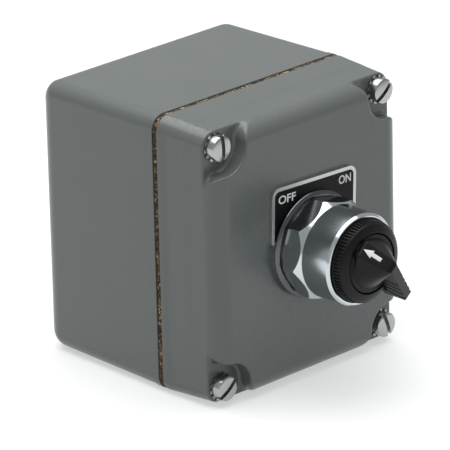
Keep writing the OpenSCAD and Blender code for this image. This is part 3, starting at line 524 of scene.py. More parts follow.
def cover_field(x, y, z):
    """Distance out of the cover's metal, without its hollow."""
    u, v = np.abs(x), np.abs(y)
    lean = COVER_DRAFT * np.clip((z - rim) / (front - rim - FRONT_EDGE_R), -1, 1)
    a, b = u - (half_w - lean - CORNER_R), v - (half_h - lean - CORNER_R)
    side = np.hypot(np.maximum(a, 0), np.maximum(b, 0)) + np.minimum(np.maximum(a, b), 0) - CORNER_R
    body = outer_blend(side, z - front, FRONT_EDGE_R)
    kept = inner_blend(pocket_wall(u, v), z - pocket, FLOOR_BLEND_R)
    return outer_blend(body, kept, LIP_R)


# %% [markdown]
# Skinning a field by surface nets: every grid cell that the surface passes through gets one point, each
# grid edge that it crosses gets one quad between the four cells round it, and the points are then
# walked down the field's slope until they lie on the surface.

# %% Surface nets
def skin(field, xs, ys, zs):
    """Quads on the zero level of a field, sampled on an uneven grid."""
    grid = np.meshgrid(xs, ys, zs, indexing="ij")
    inside = field(*grid) < 0
    cells = sum(inside[i:i - 1 or None, j:j - 1 or None, k:k - 1 or None].astype(int)
                for i in (0, 1) for j in (0, 1) for k in (0, 1))
    active = (cells > 0) & (cells < 8)
    number = np.full(active.shape, -1)
    number[active] = np.arange(active.sum())
    at = np.argwhere(active)
    low = np.stack([axis[at[:, n]] for n, axis in enumerate((xs, ys, zs))], 1)
    high = np.stack([axis[at[:, n] + 1] for n, axis in enumerate((xs, ys, zs))], 1)
    points = (low + high) / 2
    for _ in range(12):
        here = field(*points.T)
        slope = np.stack([(field(*(points + move).T) - here) / 1e-3 for move in np.eye(3) * 1e-3], 1)
        points -= slope * (here / np.maximum((slope ** 2).sum(1), 0.1))[:, None]
        points = np.clip(points, low - (high - low) * 0.1, high + (high - low) * 0.1)
    quads = []
    for axis in range(3):
        below, above = np.moveaxis(inside, axis, 0)[:-1], np.moveaxis(inside, axis, 0)[1:]
        where = np.argwhere((below != above)[:, 1:-1, 1:-1]) + (0, 1, 1)
        cell = np.moveaxis(number, axis, 0)
        ring = np.stack([cell[where[:, 0], where[:, 1] - i, where[:, 2] - j]
                         for i, j in ((1, 1), (0, 1), (0, 0), (1, 0))], 1)
        quads.append(ring)
    return points, np.concatenate(quads)


def uneven(fine_from, fine_to, fine, low, coarse):
    """Grid lines that are close together in a band, and wide apart between it and low."""
    below = np.linspace(low, fine_from, max(2, round((fine_from - low) / coarse) + 1))[:-1]
    return np.concatenate([below, np.arange(fine_from, fine_to + fine / 2, fine)])


# %% Cover
FINE = 0.36
COARSE = 3.0
FINE_ROUND_POCKET = 3
FINE_BELOW_POCKET = 2.5
FIRST_LINE = 0.5
BELOW_RIM = 2
fine_reach = POCKET_R + FLARE_R
right_x = uneven(screw_x - fine_reach - FINE_ROUND_POCKET, half_w + 2 * FINE, FINE, FIRST_LINE, COARSE)
top_y = uneven(screw_y - fine_reach - FINE_ROUND_POCKET, half_h + 2 * FINE, FINE, FIRST_LINE, COARSE)
out_z = uneven(pocket - FINE_BELOW_POCKET, front + 2 * FINE, FINE, rim - BELOW_RIM, COARSE)
all_x, all_y = (np.concatenate([-side[::-1], side]) for side in (right_x, top_y))
points, quads = skin(cover_field, all_x, all_y, out_z)
bm = bmesh.new()
verts = [bm.verts.new(point) for point in points]
for quad in quads:
    bm.faces.new([verts[i] for i in quad])
bmesh.ops.bisect_plane(bm, geom=bm.verts[:] + bm.edges[:] + bm.faces[:], plane_co=(0, 0, rim),
                       plane_no=(0, 0, -1), clear_outer=True)
bmesh.ops.edgeloop_fill(bm, edges=[edge for edge in bm.edges if edge.is_boundary])
cover = object_of("cover_casting", bm, sharp=40)
print("cover skin:", len(cover.data.polygons), "faces")

COVER_WALL = 5.5
COVER_BOSS_R = 13.3
PANEL_T = 4.5
PANEL_HOLE_R = 15.25
bm = bmesh.new()
prism(bm, hollow(COVER_WALL, COVER_BOSS_R), rim - OVER, front - PANEL_T)
carve(cover, object_of("cover_room", bm), sharp=40)
bm = bmesh.new()
for place in CORNERS:
    prism(bm, circle(place, SCREW_R + LOOSE_GAP), rim - OVER, front + OVER)
prism(bm, circle((axis_x, axis_y), PANEL_HOLE_R, 96), front - PANEL_T - OVER, front + OVER)
carve(cover, object_of("cover_holes", bm), sharp=40)
hand_over(cover, "grey_enamel", "station", "cover")

# %% [markdown]
# A cork gasket is stamped from sheet, so its edge is ragged and squeezes out unevenly between the two
# castings. Its outline is walked in steps of half a millimetre and pushed in or out by seeded noise.

# %% Cork gasket
GASKET_INSET = 0.3
RAGGED = 0.28
STEP = 0.55


def walk(outline, step):
    """Points every step along a closed outline."""
    points = []
    for (x0, y0), (x1, y1) in zip(outline, outline[1:] + outline[:1]):
        count = max(1, round(math.hypot(x1 - x0, y1 - y0) / step))
        points += [(x0 + (x1 - x0) * i / count, y0 + (y1 - y0) * i / count) for i in range(count)]
    return points


edge = walk(rounded(half_w - GASKET_INSET, half_h - GASKET_INSET, CORNER_R), STEP)
gasket_rings = []
for share, bulge in ((0, 0.5), (0.1, 0.1), (0.35, 0), (0.65, 0), (0.9, 0.1), (1, 0.5)):
    z = mouth + (rim - mouth) * share
    ring = []
    for x, y in edge:
        rough = RAGGED * noise.noise(Vector((x, y, z)) * 1.3) + 0.2 * noise.noise(Vector((x, y, 0)) * 0.12)
        inward = 1 - (bulge + abs(rough)) / math.hypot(x, y)
        ring.append((x * inward, y * inward, z))
    gasket_rings.append(ring)
bm = bmesh.new()
join_rings(bm, gasket_rings)
gasket = object_of("cork_ring", bm, sharp=80)
bm = bmesh.new()
prism(bm, hollow(BOX_WALL, BOSS_R), mouth - OVER, rim + OVER)
for place in CORNERS:
    prism(bm, circle(place, SCREW_R + LOOSE_GAP, 32), mouth - OVER, rim + OVER)
carve(gasket, object_of("gasket_room", bm), sharp=80)
hand_over(gasket, "cork", "station", "cover_gasket")

# %% [markdown]
# Screws, washer teeth, grip ribs and coils repeat, so Geometry Nodes make them. A tree is built once
# with named inputs, each piece sets them by their sockets' identifiers, and the result becomes plain
# mesh before it rides on a body.

# %% Geometry Nodes helpers
def new_tree(name, **sockets):
    """A tree with named inputs, its input node and its output node."""
    tree = bpy.data.node_groups.new(name, "GeometryNodeTree")
    tree.interface.new_socket("Geometry", in_out="INPUT", socket_type="NodeSocketGeometry")
    for label, kind in sockets.items():
        tree.interface.new_socket(label.replace("_", " "), in_out="INPUT", socket_type="NodeSocket" + kind)
    tree.interface.new_socket("Geometry", in_out="OUTPUT", socket_type="NodeSocketGeometry")
    return tree, add(tree, "NodeGroupInput").outputs, add(tree, "NodeGroupOutput")


def close(tree, geometry, material, out):
    """Ends a tree: real geometry in one material."""
    real = add(tree, "GeometryNodeRealizeInstances", {"Geometry": geometry})
    done = add(tree, "GeometryNodeSetMaterial", {"Geometry": real.outputs["Geometry"], "Material": material})
    tree.links.new(done.outputs["Geometry"], out.inputs["Geometry"])


def grow(piece, tree, sharp=30, place=UPRIGHT, **values):
    """Runs a tree on a piece in millimetres, keeps the result as plain mesh and stands it up."""
    step = piece.modifiers.new("grow", "NODES")
    step.node_group = tree
    for item in tree.interface.items_tree:
        label = item.name.replace(" ", "_")
        if item.item_type == "SOCKET" and item.in_out == "INPUT" and label in values:
            step[item.identifier] = values[label]
    plain_mesh(piece, sharp)
    piece.data.transform(place)
    return piece


FLAT = Matrix.Identity(4)


def points_object(name, places, turns):
    """An object of loose points, each with a turn."""
    mesh = bpy.data.meshes.new(name)
    mesh.from_pydata(places, [], [])
    mesh.attributes.new("turn", "FLOAT", "POINT").data.foreach_set("value", [math.radians(t) for t in turns])
    piece = bpy.data.objects.new(name, mesh)
    bpy.context.scene.collection.objects.link(piece)
    return piece


set_out, given, out = new_tree("set_out", Shape="Object", Finish="Material")
shape = add(set_out, "GeometryNodeObjectInfo", {"Object": given["Shape"]})
own_turn = add(set_out, "GeometryNodeInputNamedAttribute", {"Name": "turn"}, data_type="FLOAT")
spin = add(set_out, "ShaderNodeCombineXYZ", {"Z": own_turn.outputs["Attribute"]})
laid = add(set_out, "GeometryNodeInstanceOnPoints", {
    "Points": given["Geometry"], "Instance": shape.outputs["Geometry"], "Rotation": spin.outputs["Vector"]})
close(set_out, laid.outputs["Instances"], given["Finish"], out)

ring_of, given, out = new_tree("ring_of", Shape="Object", Count="Int", Radius="Float", Height="Float",
                               Finish="Material")
round_it = add(ring_of, "GeometryNodeMeshCircle", {"Vertices": given["Count"], "Radius": given["Radius"]})
lift = add(ring_of, "ShaderNodeCombineXYZ", {"Z": given["Height"]})
lifted = add(ring_of, "GeometryNodeTransform", {"Geometry": round_it.outputs["Mesh"],
                                                "Translation": lift.outputs["Vector"]})
share = add(ring_of, "ShaderNodeMath", {0: add(ring_of, "GeometryNodeInputIndex").outputs["Index"],
                                        1: given["Count"]}, operation="DIVIDE")
angle = add(ring_of, "ShaderNodeMath", {0: share.outputs["Value"], 1: 2 * math.pi}, operation="MULTIPLY")
spin = add(ring_of, "ShaderNodeCombineXYZ", {"Z": angle.outputs["Value"]})
shape = add(ring_of, "GeometryNodeObjectInfo", {"Object": given["Shape"]})
laid = add(ring_of, "GeometryNodeInstanceOnPoints", {
    "Points": lifted.outputs["Geometry"], "Instance": shape.outputs["Geometry"],
    "Rotation": spin.outputs["Vector"]})
both = add(ring_of, "GeometryNodeJoinGeometry", {"Geometry": laid.outputs["Instances"]})
ring_of.links.new(given["Geometry"], both.inputs["Geometry"])
close(ring_of, both.outputs["Geometry"], given["Finish"], out)

# %% [markdown]
# Slotted fillister screws: a short cylinder under a low dome, with a sawn slot. They were driven home
# at four different turns, and those turns show. Under each head is a lock washer with outside teeth,
# each tooth twisted so that its corners bite. Heads and washers are drawn up to 0.8 mm less in radius
# than the CAD ones, and the slots are sawn deeper, because that is closer to how the real ones look.

# %% Cover screws and lock washers
HEAD_R = 4.6
HEAD_H = 3.8
HEAD_DOME = 0.75
HEAD_EDGE = 0.25
HEAD_SHOULDER = ((0, -HEAD_EDGE), (0.08, -0.02))
DOME_FOOT_IN, DOME_FOOT_UP = 0.3, 0.16
SLOT_W = 1.6
SLOT_D = 2.5
SCREW_TURNS = {(-1, 1): 90, (1, 1): 40, (-1, -1): 36, (1, -1): 108}


def dome(r, low, high, steps=8):
    """Profile of a low dome from its edge to its pole."""
    ball = (r * r + (high - low) ** 2) / (2 * (high - low))
    return [(r * (1 - i / steps), high - ball + math.sqrt(ball ** 2 - (r * (1 - i / steps)) ** 2))
            for i in range(steps + 1)]


def slotted_head(name, r, high, dome_h, slot_w, slot_d, shank_r, shank):
    """A screw with its seat at z = 0: shank, head with a broken edge, and slot."""
    side_top = high - dome_h
    profile = [(0, -shank), (shank_r, -shank), (shank_r, 0), (r - HEAD_EDGE, 0), (r, HEAD_EDGE)]
    profile += [(r - inward, side_top + up) for inward, up in HEAD_SHOULDER]
    profile += dome(r - DOME_FOOT_IN, side_top + DOME_FOOT_UP, high)
    bm = bmesh.new()
    turn(bm, profile, "poles", 96)
    screw = object_of(name, bm, FLAT)
    bm = bmesh.new()
    end = r + OVER
    prism(bm, [(-end, -slot_w / 2), (end, -slot_w / 2), (end, slot_w / 2), (-end, slot_w / 2)],
          high - slot_d, high + OVER)
    return carve(screw, object_of(name + "_slot", bm, FLAT))


screw = slotted_head("cover_screw", HEAD_R, HEAD_H, HEAD_DOME, SLOT_W, SLOT_D, SCREW_R, SCREW_LEN)
places = [(sx * screw_x, sy * screw_y, seat) for sx, sy in SCREW_TURNS]
screws = points_object("fillister_screws", places, SCREW_TURNS.values())
grow(screws, set_out, Shape=screw, Finish=FINISHES["bright_zinc"])
hand_over(screws, "bright_zinc", "station", "cover_screws")
bpy.data.objects.remove(screw)

LOCK_R = 5.25
LOCK_HOLE_R = SCREW_R + 0.2
LOCK_RING = 1.2
LOCK_TEETH = 12
TOOTH_W = 1.3
TOOTH_T = 0.55
TOOTH_TWIST = 14
TOOTH_ROOT_SHARE = 0.8
TOOTH_SUNK = 0.3
lock_t = seat - pocket
root, tip = LOCK_HOLE_R + LOCK_RING - TOOTH_SUNK, math.sqrt(LOCK_R ** 2 - (TOOTH_W / 2) ** 2)
square = ((-1, -1), (1, -1), (1, 1), (-1, 1))
bm = bmesh.new()
join_rings(bm, [[(r, w * TOOTH_W / 2 * share, h * TOOTH_T / 2) for w, h in square]
                for r, share in ((root - tip, TOOTH_ROOT_SHARE), (0, 1))])
tooth = object_of("washer_tooth", bm, Matrix.Rotation(math.radians(TOOTH_TWIST), 4, "X"))
bm = bmesh.new()
turn(bm, [(LOCK_HOLE_R, 0), (LOCK_HOLE_R + LOCK_RING, 0), (LOCK_HOLE_R + LOCK_RING, lock_t),
          (LOCK_HOLE_R, lock_t)], segments=48)
washer = object_of("lock_washer", bm, FLAT)
grow(washer, ring_of, place=FLAT, Shape=tooth, Count=LOCK_TEETH, Radius=tip, Height=lock_t / 2,
     Finish=FINISHES["bright_zinc"])
places = [(sx * screw_x, sy * screw_y, pocket) for sx, sy in SCREW_TURNS]
washers = points_object("toothed_washers", places, (4, 17, 9, 23))
grow(washers, set_out, Shape=washer, Finish=FINISHES["bright_zinc"])
hand_over(washers, "bright_zinc", "station", "cover_lock_washers")
bpy.data.objects.remove(tooth)
bpy.data.objects.remove(washer)

# %% [markdown]
# The legend plate is sheet aluminium with a black anodised field. The border is the bare metal left
# round it, so it follows the plate's outline at one distance. The same outline, moved inward, makes
# the field, which lies a few hundredths of a millimetre proud of the sheet. The plate hangs a couple
# of degrees out of true, and its top edge is 0.8 mm lower than the CAD plate's.

# %% Legend plate
LEGEND_LOW = 4
LEGEND_R = 3.5
LEGEND_LOW_R = 1
LEGEND_DISC_R = 19
LEGEND_BORDER = 1.35
LEGEND_HOLE_R = 15.1
LEGEND_TRIM = 0.8
LEGEND_TURN = -2.2
FIELD_PROUD = 0.02
FIELD_DEEP = 0.1
SHARPEST_R = 0.05
ON_PANEL = AT_OPERATOR @ Matrix.Rotation(math.radians(LEGEND_TURN), 4, "Z")
legend_x = reach_of("legend_plate")[0]
legend_up = reach_of("legend_plate")[1] - axis_y - LEGEND_TRIM
legend_low_z, legend_top_z = levels_of("legend_plate")


def arc(centre, r, first, last, steps):
    """Points on an arc, in degrees."""
    angles = [math.radians(first + (last - first) * i / steps) for i in range(steps + 1)]
    return [(centre[0] + r * math.cos(a), centre[1] + r * math.sin(a)) for a in angles]


def plate_outline(inset):
    """The plate's outline, moved inward by an inset."""
    x, low, up, disc = legend_x - inset, LEGEND_LOW + inset, legend_up - inset, LEGEND_DISC_R - inset
    low_r, top_r = max(LEGEND_LOW_R - inset, SHARPEST_R), LEGEND_R - inset
    wing = arc((x - low_r, low + low_r), low_r, -90, 0, 6) + arc((x - top_r, up - top_r), top_r, 0, 90, 14)
    meet = math.degrees(math.asin(low / disc))
    return wing + [(-px, py) for px, py in wing[::-1]] + arc((0, 0), disc, 180 - meet, 360 + meet, 72)


for name, inset, low, high, finish in (
        ("legend_sheet", 0, legend_low_z, legend_top_z - FIELD_PROUD, "bare_aluminium"),
        ("legend_field", LEGEND_BORDER, legend_top_z - FIELD_DEEP, legend_top_z, "black_anodised")):
    bm = bmesh.new()
    prism(bm, plate_outline(inset), low, high)
    plate = object_of(name, bm, ON_PANEL)
    bm = bmesh.new()
    prism(bm, circle((0, 0), LEGEND_HOLE_R, 96), legend_low_z - OVER, legend_top_z + OVER)
    carve(plate, object_of(name + "_hole", bm, ON_PANEL))
    hand_over(plate, "black_anodised", "station", *(["legend_plate"] if inset == 0 else []), finish=finish)

# %% [markdown]
# The two words are plain capitals in screen ink. A text object gives their outlines, and each word is
# scaled to its own width and height before it is laid on the plate. No letters can be made out in the
# real nut's chrome, so the words are kept out of reflections.

# %% Legend words
INK_T = 0.05
INK_SUNK = 0.03
STROKE_WIDER = 0.018
OFF_WORD = (-17.9, -9.4, 18.7, 21.8)
ON_WORD = (12.2, 18.3, 19.1, 22.3)


def word(text, left, right_edge, low, high):
    """A word as a thin mesh that fills a rectangle on the plate."""
    curve = bpy.data.curves.new("word", "FONT")
    curve.body = text
    curve.extrude = 0.5
    curve.offset = STROKE_WIDER
    source = bpy.data.objects.new("word", curve)
    bpy.context.scene.collection.objects.link(source)
    mesh = bpy.data.meshes.new_from_object(source.evaluated_get(bpy.context.evaluated_depsgraph_get()))
    bpy.data.objects.remove(source)
    corners = np.array([v.co for v in mesh.vertices])
    small, size = corners.min(0), np.ptp(corners, axis=0)
    scale = Matrix.Diagonal(((right_edge - left) / size[0], (high - low) / size[1], INK_T / size[2], 1))
    onto_plate = Matrix.Translation((left, low, legend_top_z - INK_SUNK))
    mesh.transform(onto_plate @ scale @ Matrix.Translation(-Vector(small)))
    return mesh


bm = bmesh.new()
for mesh in (word("OFF", *OFF_WORD), word("ON", *ON_WORD)):
    bm.from_mesh(mesh)
    bpy.data.meshes.remove(mesh)
words = object_of("legend_words", bm, ON_PANEL)
words.visible_glossy = False
hand_over(words, "white_plastic", "station", finish="white_ink")

# %% [markdown]
# The chromed nut is turned, then milled to eight flats, so its side meets the cone in eight arcs. It is
# built the same way: rings round the axis, in which the radius of the milled part depends on the
# angle. Each corner is eased to a 1 mm radius, as polishing leaves it. The collar above the cone is
# drawn nearly straight, because a steeper one would mirror the bright room in place of the panel.

# %% Ring nut and trim washer
BARREL_R = 14.95
NUT_CORNER_R = 19.1
NUT_TURN = 10
NUT_FOOT = 1.7
NUT_SIDE = 4.9
NUT_BEVEL = 3
COLLAR_R = 17.25
RIM_R = 16.6
RIM_BEVEL = 0.5
RIM_IN_R = 15.55
EASED = 1.0
nut_low, nut_high = levels_of("ring_nut")
nut_base_r = NUT_CORNER_R - NUT_FOOT
flat_r = NUT_CORNER_R * math.cos(math.pi / 8)
ease_centre = (flat_r - EASED) / math.cos(math.pi / 8)
ease_half = math.pi / 8 - math.atan2((flat_r - EASED) * math.tan(math.pi / 8), flat_r)


def octagon_r(angle):
    """Radius of the milled octagon at an angle, with eased corners."""
    off = (angle - math.radians(NUT_TURN) + math.pi / 8) % (math.pi / 4) - math.pi / 8
    if abs(off) < ease_half:
        return ease_centre * math.cos(off) + math.sqrt(EASED ** 2 - (ease_centre * math.sin(off)) ** 2)
    return flat_r / math.cos(math.pi / 8 - abs(off))


angles = []
for corner in range(8):
    middle = math.radians(NUT_TURN) + corner * math.pi / 4
    near = [ease_half * s for s in (-1.5, -1, -0.67, -0.33, 0, 0.33, 0.67, 1, 1.5)]
    far = [1.5 * ease_half + (math.pi / 4 - 3 * ease_half) * i / 24 for i in range(1, 24)]
    angles += [middle + a for a in near + far]
cone = NUT_BEVEL / (NUT_CORNER_R - COLLAR_R)
bevel_top = NUT_FOOT + NUT_SIDE + NUT_BEVEL


def nut_ring(radius, height):
    """One ring of the nut: radius and height may each depend on the angle."""
    ring = []
    for a in angles:
        r = radius(a) if callable(radius) else radius
        z = height(r) if callable(height) else height
        ring.append((r * math.cos(a), r * math.sin(a), nut_low + z))
    return ring


FOOT_EDGE = 0.8
FOOT_BREAK = 0.2
SHOULDER_R, SHOULDER_H = 16.95, 21.2
RIM_ROUND_SHARE = 0.3
BORE_BREAK = 0.1
BORE_STEP_H = 10
nut_h = nut_high - nut_low
rim_round = RIM_BEVEL * RIM_ROUND_SHARE
thread_r = BARREL_R + THREAD_GAP
bm = bmesh.new()
join_rings(bm, [
    nut_ring(thread_r, 0), nut_ring(nut_base_r - FOOT_BREAK, 0), nut_ring(nut_base_r, FOOT_BREAK),
    nut_ring(nut_base_r, NUT_FOOT - FOOT_EDGE),
    nut_ring(octagon_r, lambda r: NUT_FOOT - FOOT_EDGE + (r - nut_base_r) * FOOT_EDGE / NUT_FOOT),
    nut_ring(octagon_r, lambda r: bevel_top - (r - COLLAR_R) * cone),
    nut_ring(COLLAR_R, bevel_top), nut_ring(SHOULDER_R, SHOULDER_H), nut_ring(RIM_R, nut_h - RIM_BEVEL),
    nut_ring(RIM_R - rim_round, nut_h - rim_round), nut_ring(RIM_R - RIM_BEVEL, nut_h),
    nut_ring(RIM_IN_R + BORE_BREAK, nut_h), nut_ring(RIM_IN_R, nut_h - BORE_BREAK),
    nut_ring(RIM_IN_R, BORE_STEP_H), nut_ring(thread_r, BORE_STEP_H),
], "joined")
nut = object_of("chromed_nut", bm, AT_OPERATOR, sharp=18)
hand_over(nut, "chrome", "station", "ring_nut")

TRIM_GAP = 0.15
TRIM_BEVEL = 1.2
TRIM_EDGE = ((0.1, 0), (0, 0.12), (0, 0.45), (0.15, 0.75))
trim_low, trim_high = levels_of("trim_washer")
bm = bmesh.new()
turn(bm, [(BARREL_R + TRIM_GAP, trim_low)] + [(washer_r - inward, trim_low + up) for inward, up in TRIM_EDGE]
     + [(washer_r - TRIM_BEVEL, trim_high - 0.05), (washer_r - TRIM_BEVEL - 0.2, trim_high),
        (BARREL_R + TRIM_GAP, trim_high)])
trim = object_of("chromed_washer", bm, AT_OPERATOR, sharp=25)
hand_over(trim, "chrome", "station", "trim_washer", finish="darker_washer")

# %% [markdown]
# The bezel is a moulded ring with grip ribs just inside the chromed rim. The ring is a turned profile
# with a soft shoulder, and the ribs are one small bar laid out seventy-two times.

# %% Bezel ring
BEZEL_R = 15.3
BEZEL_HOLE_R = 11.15
BEZEL_FLOOR = 4.5
BEZEL_FLOOR_HOLE = 6.5
TEETH = 72
TEETH_FOOT = 14.5
TEETH_TIP = 15.08
TEETH_LEN = 2.6
TEETH_DROP = 0.3
BEZEL_CROWN = 1.4
bezel_low, bezel_top = levels_of("bezel_ring")
bezel_face = bezel_top - BEZEL_CROWN
teeth_top = bezel_face - TEETH_DROP
teeth_low = teeth_top - TEETH_LEN
shoulder = [(TEETH_FOOT, teeth_top - 0.4), (14.42, bezel_face - 0.15), (14.15, bezel_face + 0.2),
            (13.6, bezel_face + 0.52), (12.9, bezel_face + 0.82), (12.1, bezel_face + 1.13),
            (11.6, bezel_face + 1.32), (11.35, bezel_face + 1.37), (11.2, bezel_face + 1.3),
            (BEZEL_HOLE_R, bezel_face + 1.1)]
bezel_floor = bezel_low + BEZEL_FLOOR
bm = bmesh.new()
turn(bm, [(BEZEL_FLOOR_HOLE, bezel_low), (BEZEL_R, bezel_low), (BEZEL_R, teeth_low - 0.4),
          (15.1, teeth_low - 0.2), (TEETH_FOOT, teeth_low)] + shoulder
     + [(BEZEL_HOLE_R, bezel_floor), (BEZEL_FLOOR_HOLE, bezel_floor)])
bezel = object_of("bezel", bm, FLAT)

RIB_HALF_SHARE, RIB_TIP_SHARE = 0.29, 0.45
RIB_SUNK, RIB_KNEE = 0.2, 0.32
RIB_LEVELS = ((0, 1), (2.0, 1), (2.35, 0.85), (2.7, 0.3))
rib_half = 2 * math.pi * TEETH_FOOT / TEETH * RIB_HALF_SHARE
rib_out, tip_half = TEETH_TIP - TEETH_FOOT, rib_half * RIB_TIP_SHARE
section = [(-RIB_SUNK, -rib_half), (RIB_KNEE, -rib_half), (rib_out, -tip_half), (rib_out, tip_half),
           (RIB_KNEE, rib_half), (-RIB_SUNK, rib_half)]
bm = bmesh.new()
join_rings(bm, [[(x if x < 0 else x * full, y * (0.6 + 0.4 * full), z) for x, y in section]
                for z, full in RIB_LEVELS])
rib = object_of("grip_rib", bm, FLAT, sharp=60)
grow(bezel, ring_of, place=AT_OPERATOR, sharp=40, Shape=rib, Count=TEETH, Radius=TEETH_FOOT,
     Height=teeth_low - 0.1, Finish=FINISHES["black_plastic"])
bpy.data.objects.remove(rib)
hand_over(bezel, "black_plastic", "station", "bezel_ring")

# %% [markdown]
# The lever knob is one moulding: a disc, a mound, a lever with a pointing facet, and a finned tail that
# passes over the rim. Its parts are joined by booleans. A voxel remesh and a few smoothing passes
# then ease every edge at once by about a quarter of a millimetre, as a mould does.

# %% Selector knob
OFF_ANGLE = 130
DISC_R = 10.85
DISC_EDGE = 0.4
HUB_R = 9.3
RIDGE_OUT, RIDGE_REACH, RIDGE_HALF, RIDGE_DROP, RIDGE_STRIP = 42.5, 3.6, 2.3, 0.9, 1.2
TIP_OUT, TIP_REACH, TIP_HALF = 32.6, 10.9, 3.1
TAIL_OUT, TAIL_REACH, TAIL_HALF = 36.5, 18.4, 2.0
FLUTES, FLUTE_R, FLUTE_BITE, FLUTE_FIRST = 4, 0.6, 0.4, 1.6
SHAFT_R = 4.05
SOCKET_D = 7.6
TAIL_CLEAR = 0.7
knob_low = levels_of("selector_knob")[0]
disc_top = bezel_top - DISC_EDGE
tail_low = nut_high + TAIL_CLEAR
POINTER = AT_OPERATOR @ Matrix.Rotation(math.radians(OFF_ANGLE), 4, "Z")
top_reach = RIDGE_REACH - RIDGE_STRIP
strip_out = RIDGE_OUT - RIDGE_DROP
facet_tilt = math.atan2(strip_out - TIP_OUT, TIP_REACH - RIDGE_REACH)
tail_tilt = math.atan2(RIDGE_OUT - TAIL_OUT, TAIL_REACH + top_reach)

bm = bmesh.new()
turn(bm, [(0, knob_low), (DISC_R, knob_low), (DISC_R, disc_top), (DISC_R - DISC_EDGE, bezel_top),
          (0, bezel_top)], "poles", 160)
knob = object_of("lever_knob", bm, POINTER)

bm = bmesh.new()
foot = [(x, y, z) for z in (disc_top, bezel_top) for x, y in circle((0, 0), HUB_R, 160)]
bars = [(TIP_REACH - 0.4, TIP_HALF, bezel_top), (TIP_REACH, TIP_HALF, front + TIP_OUT),
        (RIDGE_REACH, RIDGE_HALF, front + strip_out), (top_reach, TAIL_HALF, front + RIDGE_OUT)]
for point in foot + [(x, s * y, z) for x, y, z in bars for s in (-1, 1)]:
    bm.verts.new(point)
hull = bmesh.ops.convex_hull(bm, input=bm.verts)
buried = [v for v in hull["geom_interior"] if isinstance(v, bmesh.types.BMVert)]
bmesh.ops.delete(bm, geom=buried, context="VERTS")
carve(knob, object_of("lever_head", bm, POINTER), "UNION")

side_view = [(-TAIL_REACH, front + TAIL_OUT), (-TAIL_REACH, tail_low), (-BEZEL_R - 0.3, tail_low),
             (-14.85, bezel_face + 0.5), (-BEZEL_HOLE_R, bezel_top + 0.5), (-HUB_R, disc_top),
             (top_reach, disc_top), (top_reach, front + RIDGE_OUT)]
bm = bmesh.new()
join_rings(bm, [[(x, y, z) for x, z in side_view] for y in (-TAIL_HALF, TAIL_HALF)])
carve(knob, object_of("lever_tail", bm, POINTER), "UNION")

bm = bmesh.new()
flute_pitch = (TAIL_REACH - FLUTE_FIRST) / (FLUTES + 1)
flute_len = front + RIDGE_OUT - tail_low
for flute in range(FLUTES):
    for side in (-1, 1):
        lean = (Matrix.Translation((-TAIL_REACH, side * (TAIL_HALF + FLUTE_R - FLUTE_BITE), front + TAIL_OUT))
                @ Matrix.Rotation(-tail_tilt, 4, "Y")
                @ Matrix.Translation((FLUTE_FIRST + flute * flute_pitch, 0, -flute_len)))
        join_rings(bm, [[lean @ Vector((x, y, z)) for x, y in circle((0, 0), FLUTE_R, 24)]
                        for z in (0, flute_len + OVER)])
carve(knob, object_of("flutes", bm, POINTER))
bm = bmesh.new()
turn(bm, [(0, knob_low - OVER), (SHAFT_R, knob_low - OVER), (SHAFT_R, knob_low + SOCKET_D),
          (0, knob_low + SOCKET_D)], "poles", 64)
carve(knob, object_of("shaft_socket", bm, POINTER))

# %% [markdown]
# The arrow is a white insert pressed into the facet. Its pocket is cut before the remesh, so the
# pocket's edge is eased with the rest, and the insert itself keeps its own crisp outline.

# %% Arrow
ARROW_FIRST, ARROW_HEAD, ARROW_LEN, ARROW_HALF, ARROW_STEM = 0.45, 3.6, 7.3, 1.6, 0.75
ARROW_DEEP, ARROW_PROUD = 0.4, 0.15
EASE_VOXEL = 0.21
ON_FACET = POINTER @ Matrix.Translation((TIP_REACH, 0, front + TIP_OUT)) @ Matrix.Rotation(facet_tilt, 4, "Y")
barb, foot = -ARROW_FIRST - ARROW_HEAD, -ARROW_FIRST - ARROW_LEN
arrow_outline = [(-ARROW_FIRST, 0), (barb, ARROW_HALF), (barb, ARROW_STEM), (foot, ARROW_STEM),
                 (foot, -ARROW_STEM), (barb, -ARROW_STEM), (barb, -ARROW_HALF)]
bm = bmesh.new()
prism(bm, arrow_outline, -ARROW_DEEP, OVER)
carve(knob, object_of("arrow_pocket", bm, ON_FACET))
remesh = knob.modifiers.new("remesh", "REMESH")
remesh.mode = "VOXEL"
remesh.voxel_size = EASE_VOXEL * MM
smooth = knob.modifiers.new("smooth", "SMOOTH")
smooth.factor = 0.5
smooth.iterations = 3
plain_mesh(knob, 60)
hand_over(knob, "black_plastic", "knob", "selector_knob")

bm = bmesh.new()
prism(bm, arrow_outline, -ARROW_DEEP, ARROW_PROUD)
arrow = soften(object_of("white_arrow", bm, ON_FACET), 0.08, 2)
hand_over(arrow, "white_plastic", "knob", "arrow_insert")

# %% [markdown]
# Springs are wound wire. One tree makes them all: a spiral, a round section swept along it, and closed
# ends. The two return springs reach from the block's floor to a plunger that moves; they are made
# where they stand and ride on no body.

# %% Springs
wound, given, out = new_tree("wound", Turns="Float", Radius="Float", Height="Float", Wire="Float",
                             Finish="Material")
path = add(wound, "GeometryNodeCurveSpiral", {
    "Resolution": 24, "Rotations": given["Turns"], "Start Radius": given["Radius"],
    "End Radius": given["Radius"], "Height": given["Height"]})
section = add(wound, "GeometryNodeCurvePrimitiveCircle", {"Resolution": 10, "Radius": given["Wire"]})
swept = add(wound, "GeometryNodeCurveToMesh", {"Curve": path.outputs["Curve"],
                                               "Profile Curve": section.outputs["Curve"], "Fill Caps": True})
close(wound, swept.outputs["Mesh"], given["Finish"], out)


